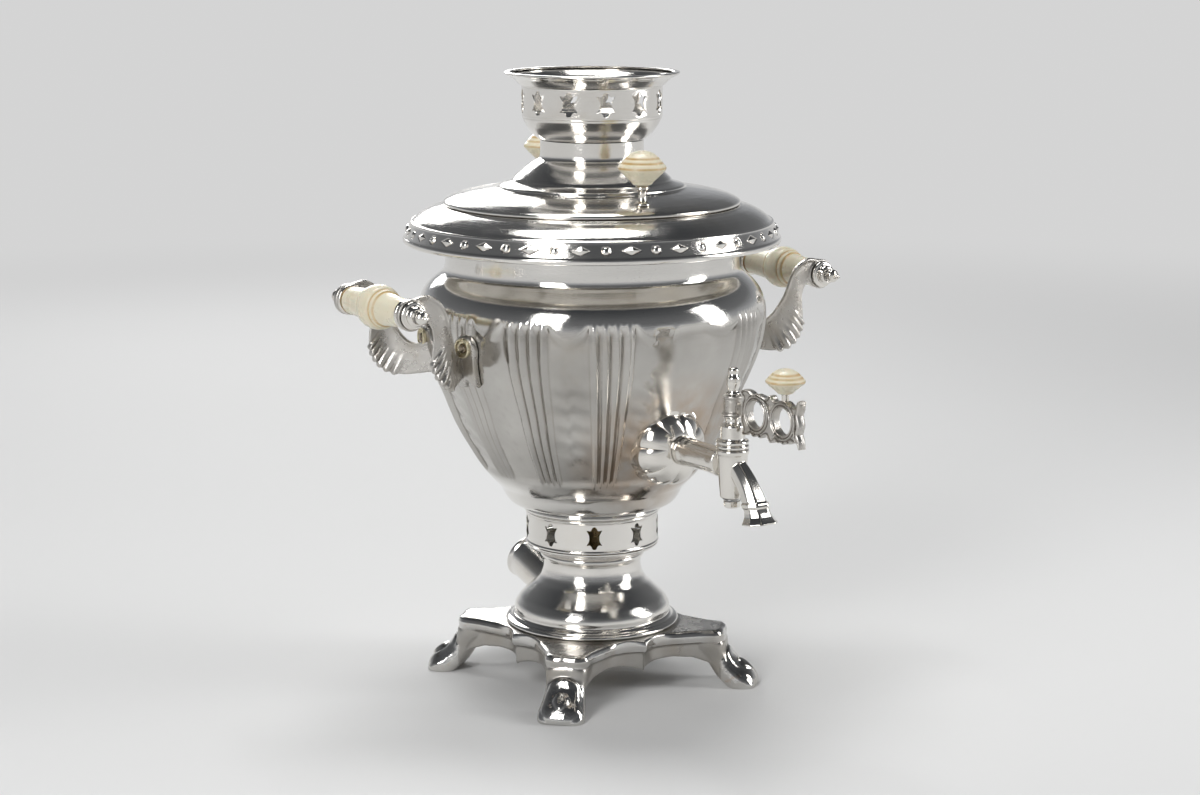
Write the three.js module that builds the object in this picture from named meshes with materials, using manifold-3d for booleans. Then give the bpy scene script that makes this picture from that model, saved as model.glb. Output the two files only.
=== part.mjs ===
// An electric samovar of about three litres, in nickel-plated brass.
// Millimetres, +Z up. The tap looks along -Y, the handles stand on the X axis, the inlet is at +Y.
import * as THREE from "three";
import { mergeVertices } from "three/addons/utils/BufferGeometryUtils.js";
import Module from "manifold-3d";

const wasm = await Module();
wasm.setup();

// Fits
const fit = 0.3;
const play = 0.8;
const wall = 1.2;
const overrun = 4;

// Base: one casting, a square with drawn-in sides on four cabriole feet
const baseHeight = 37.4;
const baseSide = 60;
const baseCorner = 85;
const baseSeatRadius = 56;
const baseWall = 3;
const apronDepth = 21;
const archRise = 4.4;
const toeReach = 107;
const legWidth = 26;

// Pedestal: flange, bell and waist, spun in one
const pedestalHeight = 51.2;
const flangeRadius = 54.5;
const waistRadius = 30.8;

// Pierced band between the pedestal and the body
const bandRadius = 41.7;
const bandHeight = 21.4;
const bandCutCount = 9;
const bandCutTurn = 8;
const bandCutWidth = 9.6;
const bandCutHeight = 14.6;

// Body: the tank
const bodyHeight = 189;
const shoulderRadius = 108.4;
const footRadius = 43.6;
const neckRadius = 91.3;
const fluteDepth = 1.2;
const fluteTop = 129;
const fluteBottom = 27;
const fluteCount = 13;

// Ring round the top of the body
const ringOverhang = 24.5;
const ringDrop = 20;
const ringSheet = 1.4;
const ringLedge = 3;

// Lid
const lidHeight = 39.3;
const lidSkirt = 7;
const lidNeckRadius = 32;
const ventPlateDepth = 10.5;
const ventRadius = 2.6;
const ventReach = 17;
const ventCount = 6;
const knobReach = 77.3;
const knobTurn = -11.5;
const knobRadius = 14.4;
const knobHeight = 20.3;
const knobStemHeight = 11.4;
const knobStemRadius = 3.9;
const knobScrewRadius = 2;

// Crown that carries the teapot
const crownHeight = 41.4;
const crownRadius = 43.4;
const crownRimRadius = 54;
const crownSpigot = 8;
const crownCutCount = 12;
const crownCutTurn = 7;
const crownCutWidth = 11.4;
const crownCutHeight = 15;

// Tie that clamps base, pedestal, band and body
const tieRadius = 6;
const tieBore = 4;
const nutRadius = 10;
const nutHeight = 5;
const washerRadius = 17;
const washerHeight = 1.5;

// Heating element
const heaterRadius = 4;
const heaterLoopRadius = 46;
const heaterLoopHeight = 39;
const heaterLegX = 20;
const heaterLegY = 14;
const heaterTail = 13;
const heaterCollarRadius = 7;
const heaterCollarHeight = 4;
const gasketHeight = 1.6;

// Inlet at the back of the pedestal
const socketTilt = 18;
const socketMouthReach = 78;
const socketMouthHeight = 62;
const socketRadius = 14;
const socketLip = 1.2;
const insulatorDepth = 22;
const insulatorThickness = 8;
const pinRadius = 2.4;
const pinSpacing = 13;
const pinLength = 38;
const pinInset = 5;
const inletHoleRadius = 10.5;
const leadRadius = 1.5;

// Handles
const gripHeight = 251.5;
const gripStandOff = 43;
const bracketSpan = 75;
const bracketThickness = 4;
const bossRadius = 9.5;
const fanDrop = 47;
const footThickness = 2.4;
const footDepth = 27;
const footHeight = 39;
const footScrewDrop = 25.5;
const rodRadius = 2.8;
const rodTail = 8;
const ferruleRadius = 9.2;
const ferruleLength = 2.6;
const gripRadius = 13.5;
const gripEndRadius = 8.3;
const acornRadius = 8.4;
const acornLength = 15;
const screwRadius = 2;
const screwHeadRadius = 3.6;
const screwHeadHeight = 2;
const cupRadius = 5.6;
const cupHeight = 1.6;
const screwNutRadius = 4.6;
const screwNutHeight = 5;

// Tap
const tapHeight = 164.2;
const tapReach = 62;
const shankRadius = 6;
const shankInside = 16;
const pipeRadius = 8.4;
const waterBore = 3.6;
const barrelTop = 10;
const barrelBottom = -19.4;
const barrelTopRadius = 9.6;
const barrelBottomRadius = 7;
const plugTopRadius = 6.4;
const plugBottomRadius = 4.8;
const plugTailRadius = 2.6;
const plugNutRadius = 4.9;
const plugNutHeight = 4.4;
const collarRadius = 7.3;
const collarHeight = 19.4;
const stemRadius = 2.9;
const escutcheonRadius = 24;
const escutcheonDepth = 13;
const escutcheonLobes = 8;
const noseReach = 27;
const noseDrop = 29.7;
const mouthRadius = 10.2;

// Openwork key of the tap
const keyHubRadius = 5.8;
const keyHubHeight = 12;
const keyThickness = 5.2;
const keyRingRadius = 11;
const keyRingBore = 8;
const keyFirstRing = 24;
const keySecondRing = 48.4;
const keyEnd = 62.5;
const keyBarHeight = 25;
const keyBarWidth = 4;
const finialHeight = 16;
const finialRadius = 4.1;
const keyKnobRadius = 11.4;
const keyKnobHeight = 14.4;
const keyPinRadius = 2.1;
const keyPinInset = 1.6;
const keyPinRise = 5;

// Fineness of the round forms
const roundSteps = 2 * fluteCount;
const turnedSteps = 12;
const smallSteps = 8;

// Levels and reaches
const ringRadius = neckRadius + wall + ringOverhang;
const pedestalFoot = baseHeight + fit;
const bandFoot = pedestalFoot + pedestalHeight + fit;
const bodyFoot = bandFoot + bandHeight + fit;
const bodyRim = bodyFoot + bodyHeight;
const ringSeat = bodyRim + fit;
const lidSeat = ringSeat + ringLedge + fit;
const crownSeat = lidSeat + lidHeight + fit;
const tankFloor = bodyFoot + wall;

// Places
const tau = 2 * Math.PI;
const degree = Math.PI / 180;

// Finishes
const finish = (color, roughness, metalness) => () =>
  new THREE.MeshStandardMaterial({ color, roughness, metalness });
const nickel = finish(0xc9c6c0, 0.16, 1);
const castNickel = finish(0xa9a7a3, 0.34, 1);
const brass = finish(0xb89655, 0.3, 1);
const steel = finish(0x8f9193, 0.35, 1);
const ivory = finish(0xe9e3cf, 0.4, 0);
const rubber = finish(0x2b2a29, 0.8, 0);
const bakelite = finish(0x2a1c15, 0.45, 0);

// Solids: a closed geometry becomes a manifold solid, whichever way its faces were wound
function solid(geometry) {
  const bare = geometry.clone();
  bare.deleteAttribute("normal");
  bare.deleteAttribute("uv");
  const merged = mergeVertices(bare, 1e-4);
  const points = merged.attributes.position.array;
  const index = merged.index.array;
  const faces = [];
  let volume = 0;
  const corner = [new THREE.Vector3(), new THREE.Vector3(), new THREE.Vector3()];
  for (let i = 0; i < index.length; i += 3) {
    const [a, b, c] = [index[i], index[i + 1], index[i + 2]];
    if (a === b || b === c || c === a) continue;
    [a, b, c].forEach((v, k) => corner[k].fromArray(points, 3 * v));
    volume += corner[0].dot(corner[1].clone().cross(corner[2]));
    faces.push(a, b, c);
  }
  if (volume < 0) faces.reverse();
  const mesh = new wasm.Mesh({
    numProp: 3,
    vertProperties: new Float32Array(points),
    triVerts: new Uint32Array(faces),
  });
  return new wasm.Manifold(mesh);
}

function geometryOf(body) {
  const mesh = body.getMesh();
  const geometry = new THREE.BufferGeometry();
  geometry.setAttribute("position", new THREE.BufferAttribute(new Float32Array(mesh.vertProperties), 3));
  geometry.setIndex(new THREE.BufferAttribute(new Uint32Array(mesh.triVerts), 1));
  return geometry;
}

const union = (parts) => parts.reduce((all, part) => all.add(part));
const vector = (points) => points.map(([x, y]) => new THREE.Vector2(x, y));
const mix = THREE.MathUtils.lerp;

// A profile of [radius, height] turned round the upright axis; relief moves its points in or out
function turn(profile, steps = roundSteps, relief = null) {
  const geometry = new THREE.LatheGeometry(vector(profile), steps).rotateX(Math.PI / 2);
  if (relief) {
    const place = geometry.attributes.position;
    for (let i = 0; i < place.count; i += 1) {
      const [x, y, z] = [place.getX(i), place.getY(i), place.getZ(i)];
      const radius = Math.hypot(x, y);
      if (radius === 0) continue;
      const scale = 1 + relief(Math.atan2(x, -y), z) / radius;
      place.setXY(i, x * scale, y * scale);
    }
  }
  return solid(geometry);
}

const rod = (radius, low, high, steps = turnedSteps) =>
  turn([[0, low], [radius, low], [radius, high], [0, high]], steps);
const disc = (outer, inner, low, high, steps = turnedSteps) =>
  turn([[inner, low], [outer, low], [outer, high], [inner, high], [inner, low]], steps);

const hexNut = (radius, bore, low, high) =>
  rod(radius, low, high, 6).subtract(rod(bore, low - overrun, high + overrun));

// Shares along two sizes become the points of a profile; a third share of 0 marks a point of the outside
// that the inside of the sheet passes by
const spread = (shares, r0, r1, z0, z1) =>
  shares.map(([u, v, inside = 1]) => [mix(r0, r1, u), mix(z0, z1, v), inside]);
const insideOf = (profile) => profile.filter(([, , inside]) => inside !== 0);

// The same profile moved sideways, outwards when the distance is positive and it runs upwards
function offset(profile, distance) {
  const last = profile.length - 1;
  return profile.map(([r, z], i) => {
    const [r0, z0] = profile[Math.max(i - 1, 0)];
    const [r1, z1] = profile[Math.min(i + 1, last)];
    const before = new THREE.Vector2(r - r0, z - z0).normalize();
    const after = new THREE.Vector2(r1 - r, z1 - z).normalize();
    const along = before.clone().add(after).normalize();
    const sharp = Math.max(along.dot(i === 0 ? after : before), 0.5);
    return [r + (along.y * distance) / sharp, z - (along.x * distance) / sharp];
  });
}

// A loft through rings of equal count, closed by a fan over each end
function loft(rings) {
  const count = rings[0].length;
  const points = rings.flat();
  const middle = (ring) =>
    ring.reduce((sum, p) => sum.add(p), new THREE.Vector3()).divideScalar(count);
  points.push(middle(rings[0]), middle(rings[rings.length - 1]));
  const faces = [];
  for (let i = 0; i + 1 < rings.length; i += 1) {
    for (let k = 0; k < count; k += 1) {
      const a = i * count + k;
      const b = i * count + ((k + 1) % count);
      faces.push(a, b, a + count, b, b + count, a + count);
    }
  }
  const top = (rings.length - 1) * count;
  for (let k = 0; k < count; k += 1) {
    const next = (k + 1) % count;
    faces.push(next, k, points.length - 2);
    faces.push(top + k, top + next, points.length - 1);
  }
  const geometry = new THREE.BufferGeometry().setFromPoints(points);
  geometry.setIndex(faces);
  return solid(geometry);
}

// A flat outline of [x, y] given a thickness along +Z
function plate(outline, thickness, holes = []) {
  const shape = new THREE.Shape(vector(outline));
  holes.forEach((hole) => shape.holes.push(new THREE.Path(vector(hole))));
  return solid(new THREE.ExtrudeGeometry(shape, { depth: thickness, bevelEnabled: false }));
}

const arc = (x, y, radius, from, to, count) =>
  Array.from({ length: count + 1 }, (_, i) => {
    const angle = mix(from, to, i / count) * degree;
    return [x + radius * Math.cos(angle), y + radius * Math.sin(angle)];
  });

const ringOutline = (x, y, radius, count = turnedSteps) => arc(x, y, radius, 0, 360, count).slice(1);

const root = new THREE.Group();
function add(name, body, material, group = root) {
  const mesh = new THREE.Mesh(geometryOf(body), material());
  mesh.name = name;
  group.add(mesh);
}

// Base
// Half of one side, from its middle to the corner, as shares of the side and corner reach
const sideShares = [
  [0, 1, 0], [0.09, 0.92, 0], [0.26, 0.83, 0], [0.45, 0.806, 0],
  [0.62, 0.85, 0.1], [0.78, 0.97, 0.6], [0.88, 1.04, 0.9], [1, 1, 1],
];
function baseOutline(inset, height) {
  const diagonal = baseCorner * Math.SQRT1_2;
  const half = sideShares.map(([u, v, toCorner]) => [
    u * diagonal,
    v * mix(baseSide, diagonal, toCorner),
  ]);
  const side = [...half.slice(1).map(([x, y]) => [-x, y]).reverse(), ...half.slice(0, -1)];
  const ring = [];
  for (let quarter = 0; quarter < 4; quarter += 1) {
    for (const [x, y] of side) {
      const point = new THREE.Vector3(x, -y, height);
      point.multiplyScalar(1 - inset / Math.hypot(x, y)).setZ(height);
      ring.push(point.applyAxisAngle(new THREE.Vector3(0, 0, 1), quarter * tau / 4));
    }
  }
  return ring;
}

const circleRing = (count, radius, height) =>
  Array.from({ length: count }, (_, i) => {
    const turnBy = (i / count) * tau - (3 * Math.PI) / 4;
    return new THREE.Vector3(radius * Math.cos(turnBy), radius * Math.sin(turnBy), height);
  });

function apronArch() {
  const reach = baseSide * 0.735;
  const low = baseHeight - apronDepth;
  const archShares = [[0, 0], [0.1, 0.42], [0.25, 0.82], [0.5, 1], [0.75, 0.7], [0.92, -0.1]];
  const half = archShares.map(([u, v]) => [u * reach, low + v * archRise]);
  const outline = [[-reach, -overrun], [reach, -overrun], [reach, low - 2 * archRise]];
  outline.push(...half.slice(1).reverse(), ...half.map(([x, z]) => [-x, z]));
  outline.push([-reach, low - 2 * archRise]);
  return plate(outline, baseCorner).rotate([90, 0, 0]).translate([0, -baseSide / 2, 0]);
}

// Stations down a leg: outer reach and height, inner reach and height, half width
const legShares = [
  [0.76, 0.93, 0.66, 0.66, 0.46], [0.805, 0.78, 0.685, 0.48, 0.48], [0.82, 0.58, 0.715, 0.33, 0.46],
  [0.854, 0.41, 0.752, 0.17, 0.47], [0.915, 0.3, 0.8, 0.02, 0.5], [0.965, 0.195, 0.87, -0.1, 0.52],
  [0.993, 0.09, 0.93, -0.13, 0.47], [1, -0.06, 0.96, -0.16, 0.34],
];
const sectionShares = [
  [1, 0], [0.93, 0.55], [0.6, 0.93], [0, 1], [-0.6, 0.93], [-0.93, 0.55],
  [-1, 0], [-0.93, -0.55], [-0.6, -0.93], [0, -1], [0.6, -0.93], [0.93, -0.55],
];
function leg() {
  const rings = legShares.map(([outer, top, inner, low, half]) => {
    const high = new THREE.Vector3(0, -outer * toeReach, top * baseHeight);
    const deep = new THREE.Vector3(0, -inner * toeReach, low * baseHeight);
    const middle = high.clone().add(deep).divideScalar(2);
    const across = high.clone().sub(middle);
    return sectionShares.map(([u, v]) =>
      middle.clone().addScaledVector(across, v).add(new THREE.Vector3(u * half * legWidth, 0, 0)));
  });
  const below = plate(
    [[-legWidth, -toeReach * 1.1], [legWidth, -toeReach * 1.1], [legWidth, 0], [-legWidth, 0]],
    baseHeight,
  ).translate([0, 0, -baseHeight]);
  return loft(rings).subtract(below);
}

function base() {
  const shoulder = baseCorner - baseSeatRadius;
  const foot = baseHeight - apronDepth - 2 * archRise;
  const outer = loft([
    baseOutline(0, foot),
    baseOutline(0, baseHeight - baseWall * 1.9),
    baseOutline(shoulder * 0.04, baseHeight - baseWall * 1.3),
    baseOutline(shoulder * 0.14, baseHeight - baseWall * 0.85),
    circleRing(baseOutline(0, 0).length, baseSeatRadius * 0.99, baseHeight),
  ]);
  const inner = loft([
    baseOutline(baseWall, foot - overrun),
    baseOutline(baseWall, baseHeight - baseWall * 2.2),
    circleRing(baseOutline(0, 0).length, baseSeatRadius * 0.8, baseHeight - baseWall * 1.1),
  ]);
  let shell = outer.subtract(inner);
  for (let quarter = 0; quarter < 4; quarter += 1) {
    shell = shell.subtract(apronArch().rotate([0, 0, quarter * 90]));
  }
  for (let quarter = 0; quarter < 4; quarter += 1) {
    shell = shell.add(leg().rotate([0, 0, 45 + quarter * 90]));
  }
  return shell.subtract(rod(tieRadius + fit, -overrun, baseHeight + overrun));
}
add("base", base(), castNickel);

// Pedestal
const pedestalShares = [
  [1, 0], [1.01, 0.03], [0.96, 0.055], [0.83, 0.075], [0.78, 0.105], [0.78, 0.165], [0.74, 0.24],
  [0.61, 0.33], [0.38, 0.42], [0.18, 0.505], [0.06, 0.59], [0.005, 0.69], [0, 0.8],
  [0.085, 0.825], [0.085, 0.865], [0.18, 0.91], [0.4, 0.955],
];
const pedestalInnerShares = [
  [0.95, 0], [0.7, 0.1], [0.66, 0.25], [0.33, 0.4], [0.02, 0.56], [-0.05, 0.72], [-0.05, 0.87],
];
const pedestalTop = pedestalFoot + pedestalHeight;
const bandInner = bandRadius - wall;
const pedestalOuter = [
  ...spread(pedestalShares, waistRadius, flangeRadius, pedestalFoot, pedestalTop),
  [bandRadius, pedestalTop - wall],
  [bandRadius, pedestalTop],
];
const pedestalInner = [
  ...spread(pedestalInnerShares, waistRadius, flangeRadius, pedestalFoot, pedestalTop),
  [bandInner - 2 * wall, pedestalTop - wall],
  [bandInner - fit - wall, pedestalTop + 2 * wall],
];
const pedestalSkin = (grow) =>
  turn([[0, pedestalFoot - grow], ...offset(pedestalOuter, grow), [0, pedestalTop + grow]]);

// Inlet: its own axis leans back and up from the middle of the pedestal
const socketLength = socketMouthReach / Math.cos(socketTilt * degree);
const socketRoot = socketMouthHeight - socketMouthReach * Math.tan(socketTilt * degree);
const toInlet = (body) => body.rotate([socketTilt - 90, 0, 0]).translate([0, 0, socketRoot]);

function pedestal() {
  const profile = [
    ...pedestalOuter,
    [bandInner - fit, pedestalTop],
    [bandInner - fit, pedestalTop + 2 * wall],
    ...pedestalInner.slice().reverse(),
    pedestalOuter[0],
  ];
  return turn(profile).subtract(toInlet(rod(inletHoleRadius, 0, socketLength)));
}
add("pedestal", pedestal(), nickel);

// Cut-out in the shape of a stretched hide, half of it as shares of its half width and height
const hideShares = [[0.4, 0.72], [1, 0.76], [0.7, 0.28], [0.68, -0.2], [1, -0.68], [0.4, -0.76]];
function hide(width, height, depth) {
  const half = hideShares.map(([u, v]) => [(u * width) / 2, (v * height) / 2]);
  const tip = height / 2;
  const outline = [[0, -tip], ...half.slice().reverse(), [0, tip], ...half.map(([x, y]) => [-x, y])];
  return plate(outline, depth).rotate([90, 0, 0]);
}
function pierce(body, count, turnBy, width, height, level, radius) {
  let pierced = body;
  for (let i = 0; i < count; i += 1) {
    const cut = hide(width, height, radius / 2).translate([0, -radius * 0.75, level]);
    pierced = pierced.subtract(cut.rotate([0, 0, turnBy + (i * 360) / count]));
  }
  return pierced;
}

const band = disc(bandRadius, bandInner, bandFoot, bandFoot + bandHeight, roundSteps);
add(
  "pierced_band",
  pierce(
    band, bandCutCount, bandCutTurn, bandCutWidth, bandCutHeight, bandFoot + bandHeight / 2, bandRadius,
  ),
  nickel,
);

// Body: the foot, the fluted bowl, the shoulder and the neck
const bowlShares = [
  [0.215, 0.078], [0.26, 0.096, 0], [0.377, 0.141], [0.512, 0.212, 0], [0.662, 0.304], [0.773, 0.4, 0],
  [0.875, 0.479], [0.941, 0.54, 0], [0.986, 0.604], [1, 0.657, 0], [0.975, 0.715], [0.91, 0.762],
];
const footShares = [[0, 0, 0], [0.045, 0.1, 0], [0, 0.2], [0.45, 0.33], [0.75, 0.62], [1, 1, 0]];
const bodyOuter = [
  ...spread(
    footShares, footRadius, mix(footRadius, shoulderRadius, 0.2), bodyFoot, bodyFoot + bodyHeight * 0.07,
  ),
  ...spread(bowlShares, footRadius, shoulderRadius, bodyFoot, bodyRim),
  [mix(neckRadius, shoulderRadius, 0.26), bodyFoot + bodyHeight * 0.79],
  [mix(neckRadius, shoulderRadius, 0.03), bodyFoot + bodyHeight * 0.812],
  [neckRadius, bodyFoot + bodyHeight * 0.84],
  [neckRadius, bodyRim],
];
const bodyInner = insideOf(bodyOuter);

// Flutes: one raised group of reeds and one sunk panel in each division, none at the tap
const reedShare = 0.5;
function flute(angle, height) {
  const division = Math.round((angle / tau) * fluteCount);
  const share = Math.abs((angle / tau) * fluteCount - division);
  const raised = division !== 0 && share < reedShare / 2;
  const rise = THREE.MathUtils.smoothstep(height, bodyFoot + fluteBottom, bodyFoot + fluteBottom * 1.15);
  const fall = THREE.MathUtils.smoothstep(height, bodyFoot + fluteTop * 0.97, bodyFoot + fluteTop * 1.02);
  return raised ? 0 : -fluteDepth * rise * (1 - fall);
}
const bodySkin = (grow) =>
  turn([[0, bodyFoot - grow], ...offset(bodyOuter, grow), [0, bodyRim + grow]], roundSteps, flute);
const bodyCavity = (shrink) => {
  const inside = offset(bodyInner, -wall - shrink);
  const foot = footRadius - wall - shrink;
  const top = [inside[inside.length - 1][0], bodyRim + overrun];
  return turn([
    [0, tankFloor + shrink], [foot, tankFloor + shrink], [foot, inside[0][1]], ...inside.slice(1, -1),
    top, [0, top[1]],
  ], roundSteps, flute);
};

function radiusAt(height) {
  const k = bodyOuter.findIndex(([, z]) => z >= height);
  const [r0, z0] = bodyOuter[k - 1];
  const [r1, z1] = bodyOuter[k];
  return mix(r0, r1, (height - z0) / (z1 - z0));
}

// Shank of the tap, along -Y: pieces are turned upright and then laid down
const lay = (body) => body.rotate([90, 0, 0]).translate([0, 0, tapHeight]);
const wallAtTap = radiusAt(tapHeight);
const spigot = wallAtTap + tapReach;

// Bracket feet: the four screws, each on its own azimuth of the body
const footMiddle = bracketSpan / 2 - bracketThickness / 2 - footDepth / 2;
const footLevel = gripHeight - footScrewDrop;
const footAzimuth = Math.asin(footMiddle / radiusAt(footLevel)) / degree;
const screwPlaces = [footAzimuth, -footAzimuth, 180 - footAzimuth, 180 + footAzimuth];
const toScrew = (body, azimuth) =>
  body.rotate([0, 90, 0]).rotate([0, 0, azimuth]).translate([0, 0, footLevel]);
const footReach = radiusAt(footLevel);

function body() {
  let shell = bodySkin(0).subtract(bodyCavity(0));
  shell = shell.subtract(rod(tieRadius + fit, bodyFoot - overrun, tankFloor + overrun));
  for (const side of [-1, 1]) {
    const hole = rod(heaterRadius + fit, bodyFoot - overrun, tankFloor + overrun);
    shell = shell.subtract(hole.translate([heaterLegX, side * heaterLegY, 0]));
  }
  shell = shell.subtract(lay(rod(shankRadius + fit, wallAtTap / 2, wallAtTap + overrun)));
  // A nut is soldered inside the wall for each screw of the handles
  const nut = rod(screwNutRadius, footReach - screwNutHeight, footReach, 6);
  const hole = rod(screwRadius + fit, footReach / 2, footReach + overrun, smallSteps);
  const inside = bodySkin(-wall / 2);
  for (const azimuth of screwPlaces) {
    shell = shell.add(toScrew(nut, azimuth).intersect(inside)).subtract(toScrew(hole, azimuth));
  }
  return shell;
}
add("body", body(), nickel);

// Tie, from the floor of the tank to the underside of the base
const tieTop = tankFloor + fit + gasketHeight + fit;
const baseUnderside = baseHeight - baseWall * 1.1;
const tieNutTop = baseUnderside - fit - washerHeight - fit;
const tieEnd = tieNutTop - nutHeight - fit;
const tie = turn([
  [tieBore, tieEnd], [tieRadius, tieEnd], [tieRadius, tieTop], [nutRadius, tieTop],
  [nutRadius, tieTop + nutHeight], [tieBore, tieTop + nutHeight], [tieBore, tieEnd],
], turnedSteps);
add("tie_tube", tie, brass);
const tieGasketFoot = tankFloor + fit;
add("tie_gasket", disc(nutRadius, tieRadius + fit, tieGasketFoot, tieGasketFoot + gasketHeight), rubber);
add(
  "tie_washer",
  disc(washerRadius, tieRadius + fit, tieNutTop + fit, tieNutTop + fit + washerHeight),
  steel,
);
add("tie_nut", hexNut(nutRadius, tieRadius + fit, tieNutTop - nutHeight, tieNutTop), brass);

// Heating element: two legs through the floor and one loop above it
const collarFoot = tankFloor + fit + gasketHeight + fit;
function tube(points, radius, steps, sides) {
  const places = points.map((p) => new THREE.Vector3(...p));
  const curve = new THREE.CatmullRomCurve3(places, false, "centripetal");
  const shape = new THREE.Shape(vector(ringOutline(0, 0, radius, sides)));
  return solid(new THREE.ExtrudeGeometry(shape, { steps, extrudePath: curve, bevelEnabled: false }));
}
function heater() {
  const low = bodyFoot - heaterTail;
  const loop = bodyFoot + heaterLoopHeight;
  const rise = heaterLoopHeight * 0.7;
  const straight = collarFoot + 2 * heaterCollarHeight;
  const points = [
    [heaterLegX, heaterLegY, low], [heaterLegX, heaterLegY, bodyFoot], [heaterLegX, heaterLegY, straight],
    [heaterLegX, heaterLegY, bodyFoot + rise],
  ];
  for (const turnBy of [25, 60, 95, 130, 165, 195, 230, 265, 300, 335]) {
    const angle = turnBy * degree;
    points.push([heaterLoopRadius * Math.cos(angle), heaterLoopRadius * Math.sin(angle), loop]);
  }
  points.push(
    [heaterLegX, -heaterLegY, bodyFoot + rise], [heaterLegX, -heaterLegY, straight],
    [heaterLegX, -heaterLegY, bodyFoot], [heaterLegX, -heaterLegY, low],
  );
  const collar = rod(heaterCollarRadius, collarFoot, collarFoot + heaterCollarHeight);
  return union([
    tube(points, heaterRadius, 44, 6),
    collar.translate([heaterLegX, heaterLegY, 0]),
    collar.translate([heaterLegX, -heaterLegY, 0]),
  ]);
}
add("heating_element", heater(), steel);

// One gasket lies under both collars; a nut holds each leg from below
function heaterGasket() {
  const width = heaterCollarRadius;
  const outline = [
    ...arc(heaterLegX, heaterLegY, width, 0, 180, smallSteps),
    ...arc(heaterLegX, -heaterLegY, width, 180, 360, smallSteps),
  ];
  const holes = [1, -1].map((side) =>
    ringOutline(heaterLegX, side * heaterLegY, heaterRadius + fit, turnedSteps));
  return plate(outline, gasketHeight, holes).translate([0, 0, tankFloor + fit]);
}
add("heater_gasket", heaterGasket(), rubber);
const heaterNutTop = bodyFoot - fit;
const heaterNut = hexNut(heaterCollarRadius, heaterRadius + fit, heaterNutTop - nutHeight, heaterNutTop);
add("heater_nut_front", heaterNut.translate([heaterLegX, -heaterLegY, 0]), brass);
add("heater_nut_rear", heaterNut.translate([heaterLegX, heaterLegY, 0]), brass);

// Inlet
function shroud() {
  const lip = socketRadius + socketLip;
  const tubeSolid = turn([
    [socketRadius - wall, 0], [socketRadius, 0], [socketRadius, socketLength - 2 * socketLip],
    [lip, socketLength - socketLip], [lip, socketLength], [socketRadius - wall, socketLength],
    [socketRadius - wall, 0],
  ], turnedSteps);
  const inside = rod(flangeRadius, 0, pedestalFoot, roundSteps);
  return toInlet(tubeSolid).subtract(pedestalSkin(fit)).subtract(inside);
}
add("socket_shroud", shroud(), nickel);

const insulatorTop = socketLength - insulatorDepth;
function insulator() {
  let piece = rod(socketRadius - wall - fit, insulatorTop - insulatorThickness, insulatorTop);
  for (const side of [-1, 1]) {
    const hole = rod(pinRadius + fit, 0, socketLength, smallSteps);
    piece = piece.subtract(hole.translate([(side * pinSpacing) / 2, 0, 0]));
  }
  return toInlet(piece).subtract(pedestalSkin(fit));
}
add("socket_insulator", insulator(), bakelite);

const pinTop = socketLength - pinInset;
const pinFoot = pinTop - pinLength;
const contactPin = turn([
  [0, pinFoot], [pinRadius, pinFoot], [pinRadius, pinTop - pinRadius / 2],
  [pinRadius / 2, pinTop], [0, pinTop],
], smallSteps);
add("left_contact_pin", toInlet(contactPin.translate([-pinSpacing / 2, 0, 0])), brass);
add("right_contact_pin", toInlet(contactPin.translate([pinSpacing / 2, 0, 0])), brass);

function lead(side) {
  const end = pinFoot - fit;
  const tilt = socketTilt * degree;
  const inlet = (t) => [t * Math.cos(tilt), socketRoot + t * Math.sin(tilt)];
  const [endY, endZ] = inlet(end);
  const [nearY, nearZ] = inlet(end - pinRadius * 2);
  const start = bodyFoot - heaterTail - fit;
  const half = pinSpacing / 2;
  const fall = start - nearZ;
  const way = side > 0
    ? [[heaterLegX * 0.7, heaterLegY * 1.4, start - fall * 0.6]]
    : [[heaterLegX * 0.75, 0, start - fall * 0.45], [heaterLegX * 0.25, heaterLegY, start - fall * 0.75]];
  return tube([
    [heaterLegX, side * heaterLegY, start], [heaterLegX, side * heaterLegY, start - fall * 0.2], ...way,
    [side * half, nearY, nearZ], [side * half, endY, endZ],
  ], leadRadius, 14, 5);
}
add("left_lead_wire", lead(-1), rubber);
add("right_lead_wire", lead(1), rubber);

// Ring: a thin sheet that hangs over the neck from its ledge on the rim, with a rolled lower edge
const ringShares = [[0.45, 0.2], [0.83, 0.47], [0.97, 0.88]];
function ring() {
  const inner = neckRadius - wall;
  const ledge = neckRadius + wall;
  const top = ringSeat + ringLedge;
  const low = ringSeat - ringDrop;
  const sheet = spread(ringShares, ledge, ringRadius, top, low);
  const underside = offset([[ledge, top], ...sheet], ringSheet).slice(1).reverse();
  return turn([
    [inner, ringSeat], [inner, top], [ledge, top], ...sheet,
    [ringRadius, low], [ringRadius - ringSheet, low - ringSheet], [ringRadius - 2 * ringSheet, low],
    ...underside, [ledge, ringSeat], [inner, ringSeat],
  ]);
}
add("collar_ring", ring(), nickel);

// Lid: rim, three steps, dome and neck, with a skirt inside the mouth of the body
const lidShares = [
  [1, 0.02, 0], [0.98, 0.065, 0], [0.88, 0.135], [0.73, 0.185, 0], [0.54, 0.23], [0.43, 0.265],
  [0.41, 0.31, 0], [0.31, 0.35], [0.255, 0.42, 0], [0.205, 0.505], [0.14, 0.59, 0], [0.07, 0.665],
  [0.01, 0.71], [0, 0.77], [0, 1, 0],
];
const lidRadius = neckRadius + wall / 2;
const lidTop = lidSeat + lidHeight;
const lidOuter = spread(lidShares, lidNeckRadius, lidRadius, lidSeat, lidTop);
const skirtRadius = neckRadius - wall - play;
const lidHoleRadius = knobScrewRadius + fit;
const knobPlace = (body, side) => body.translate([0, -side * knobReach, 0]).rotate([0, 0, knobTurn]);

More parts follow.
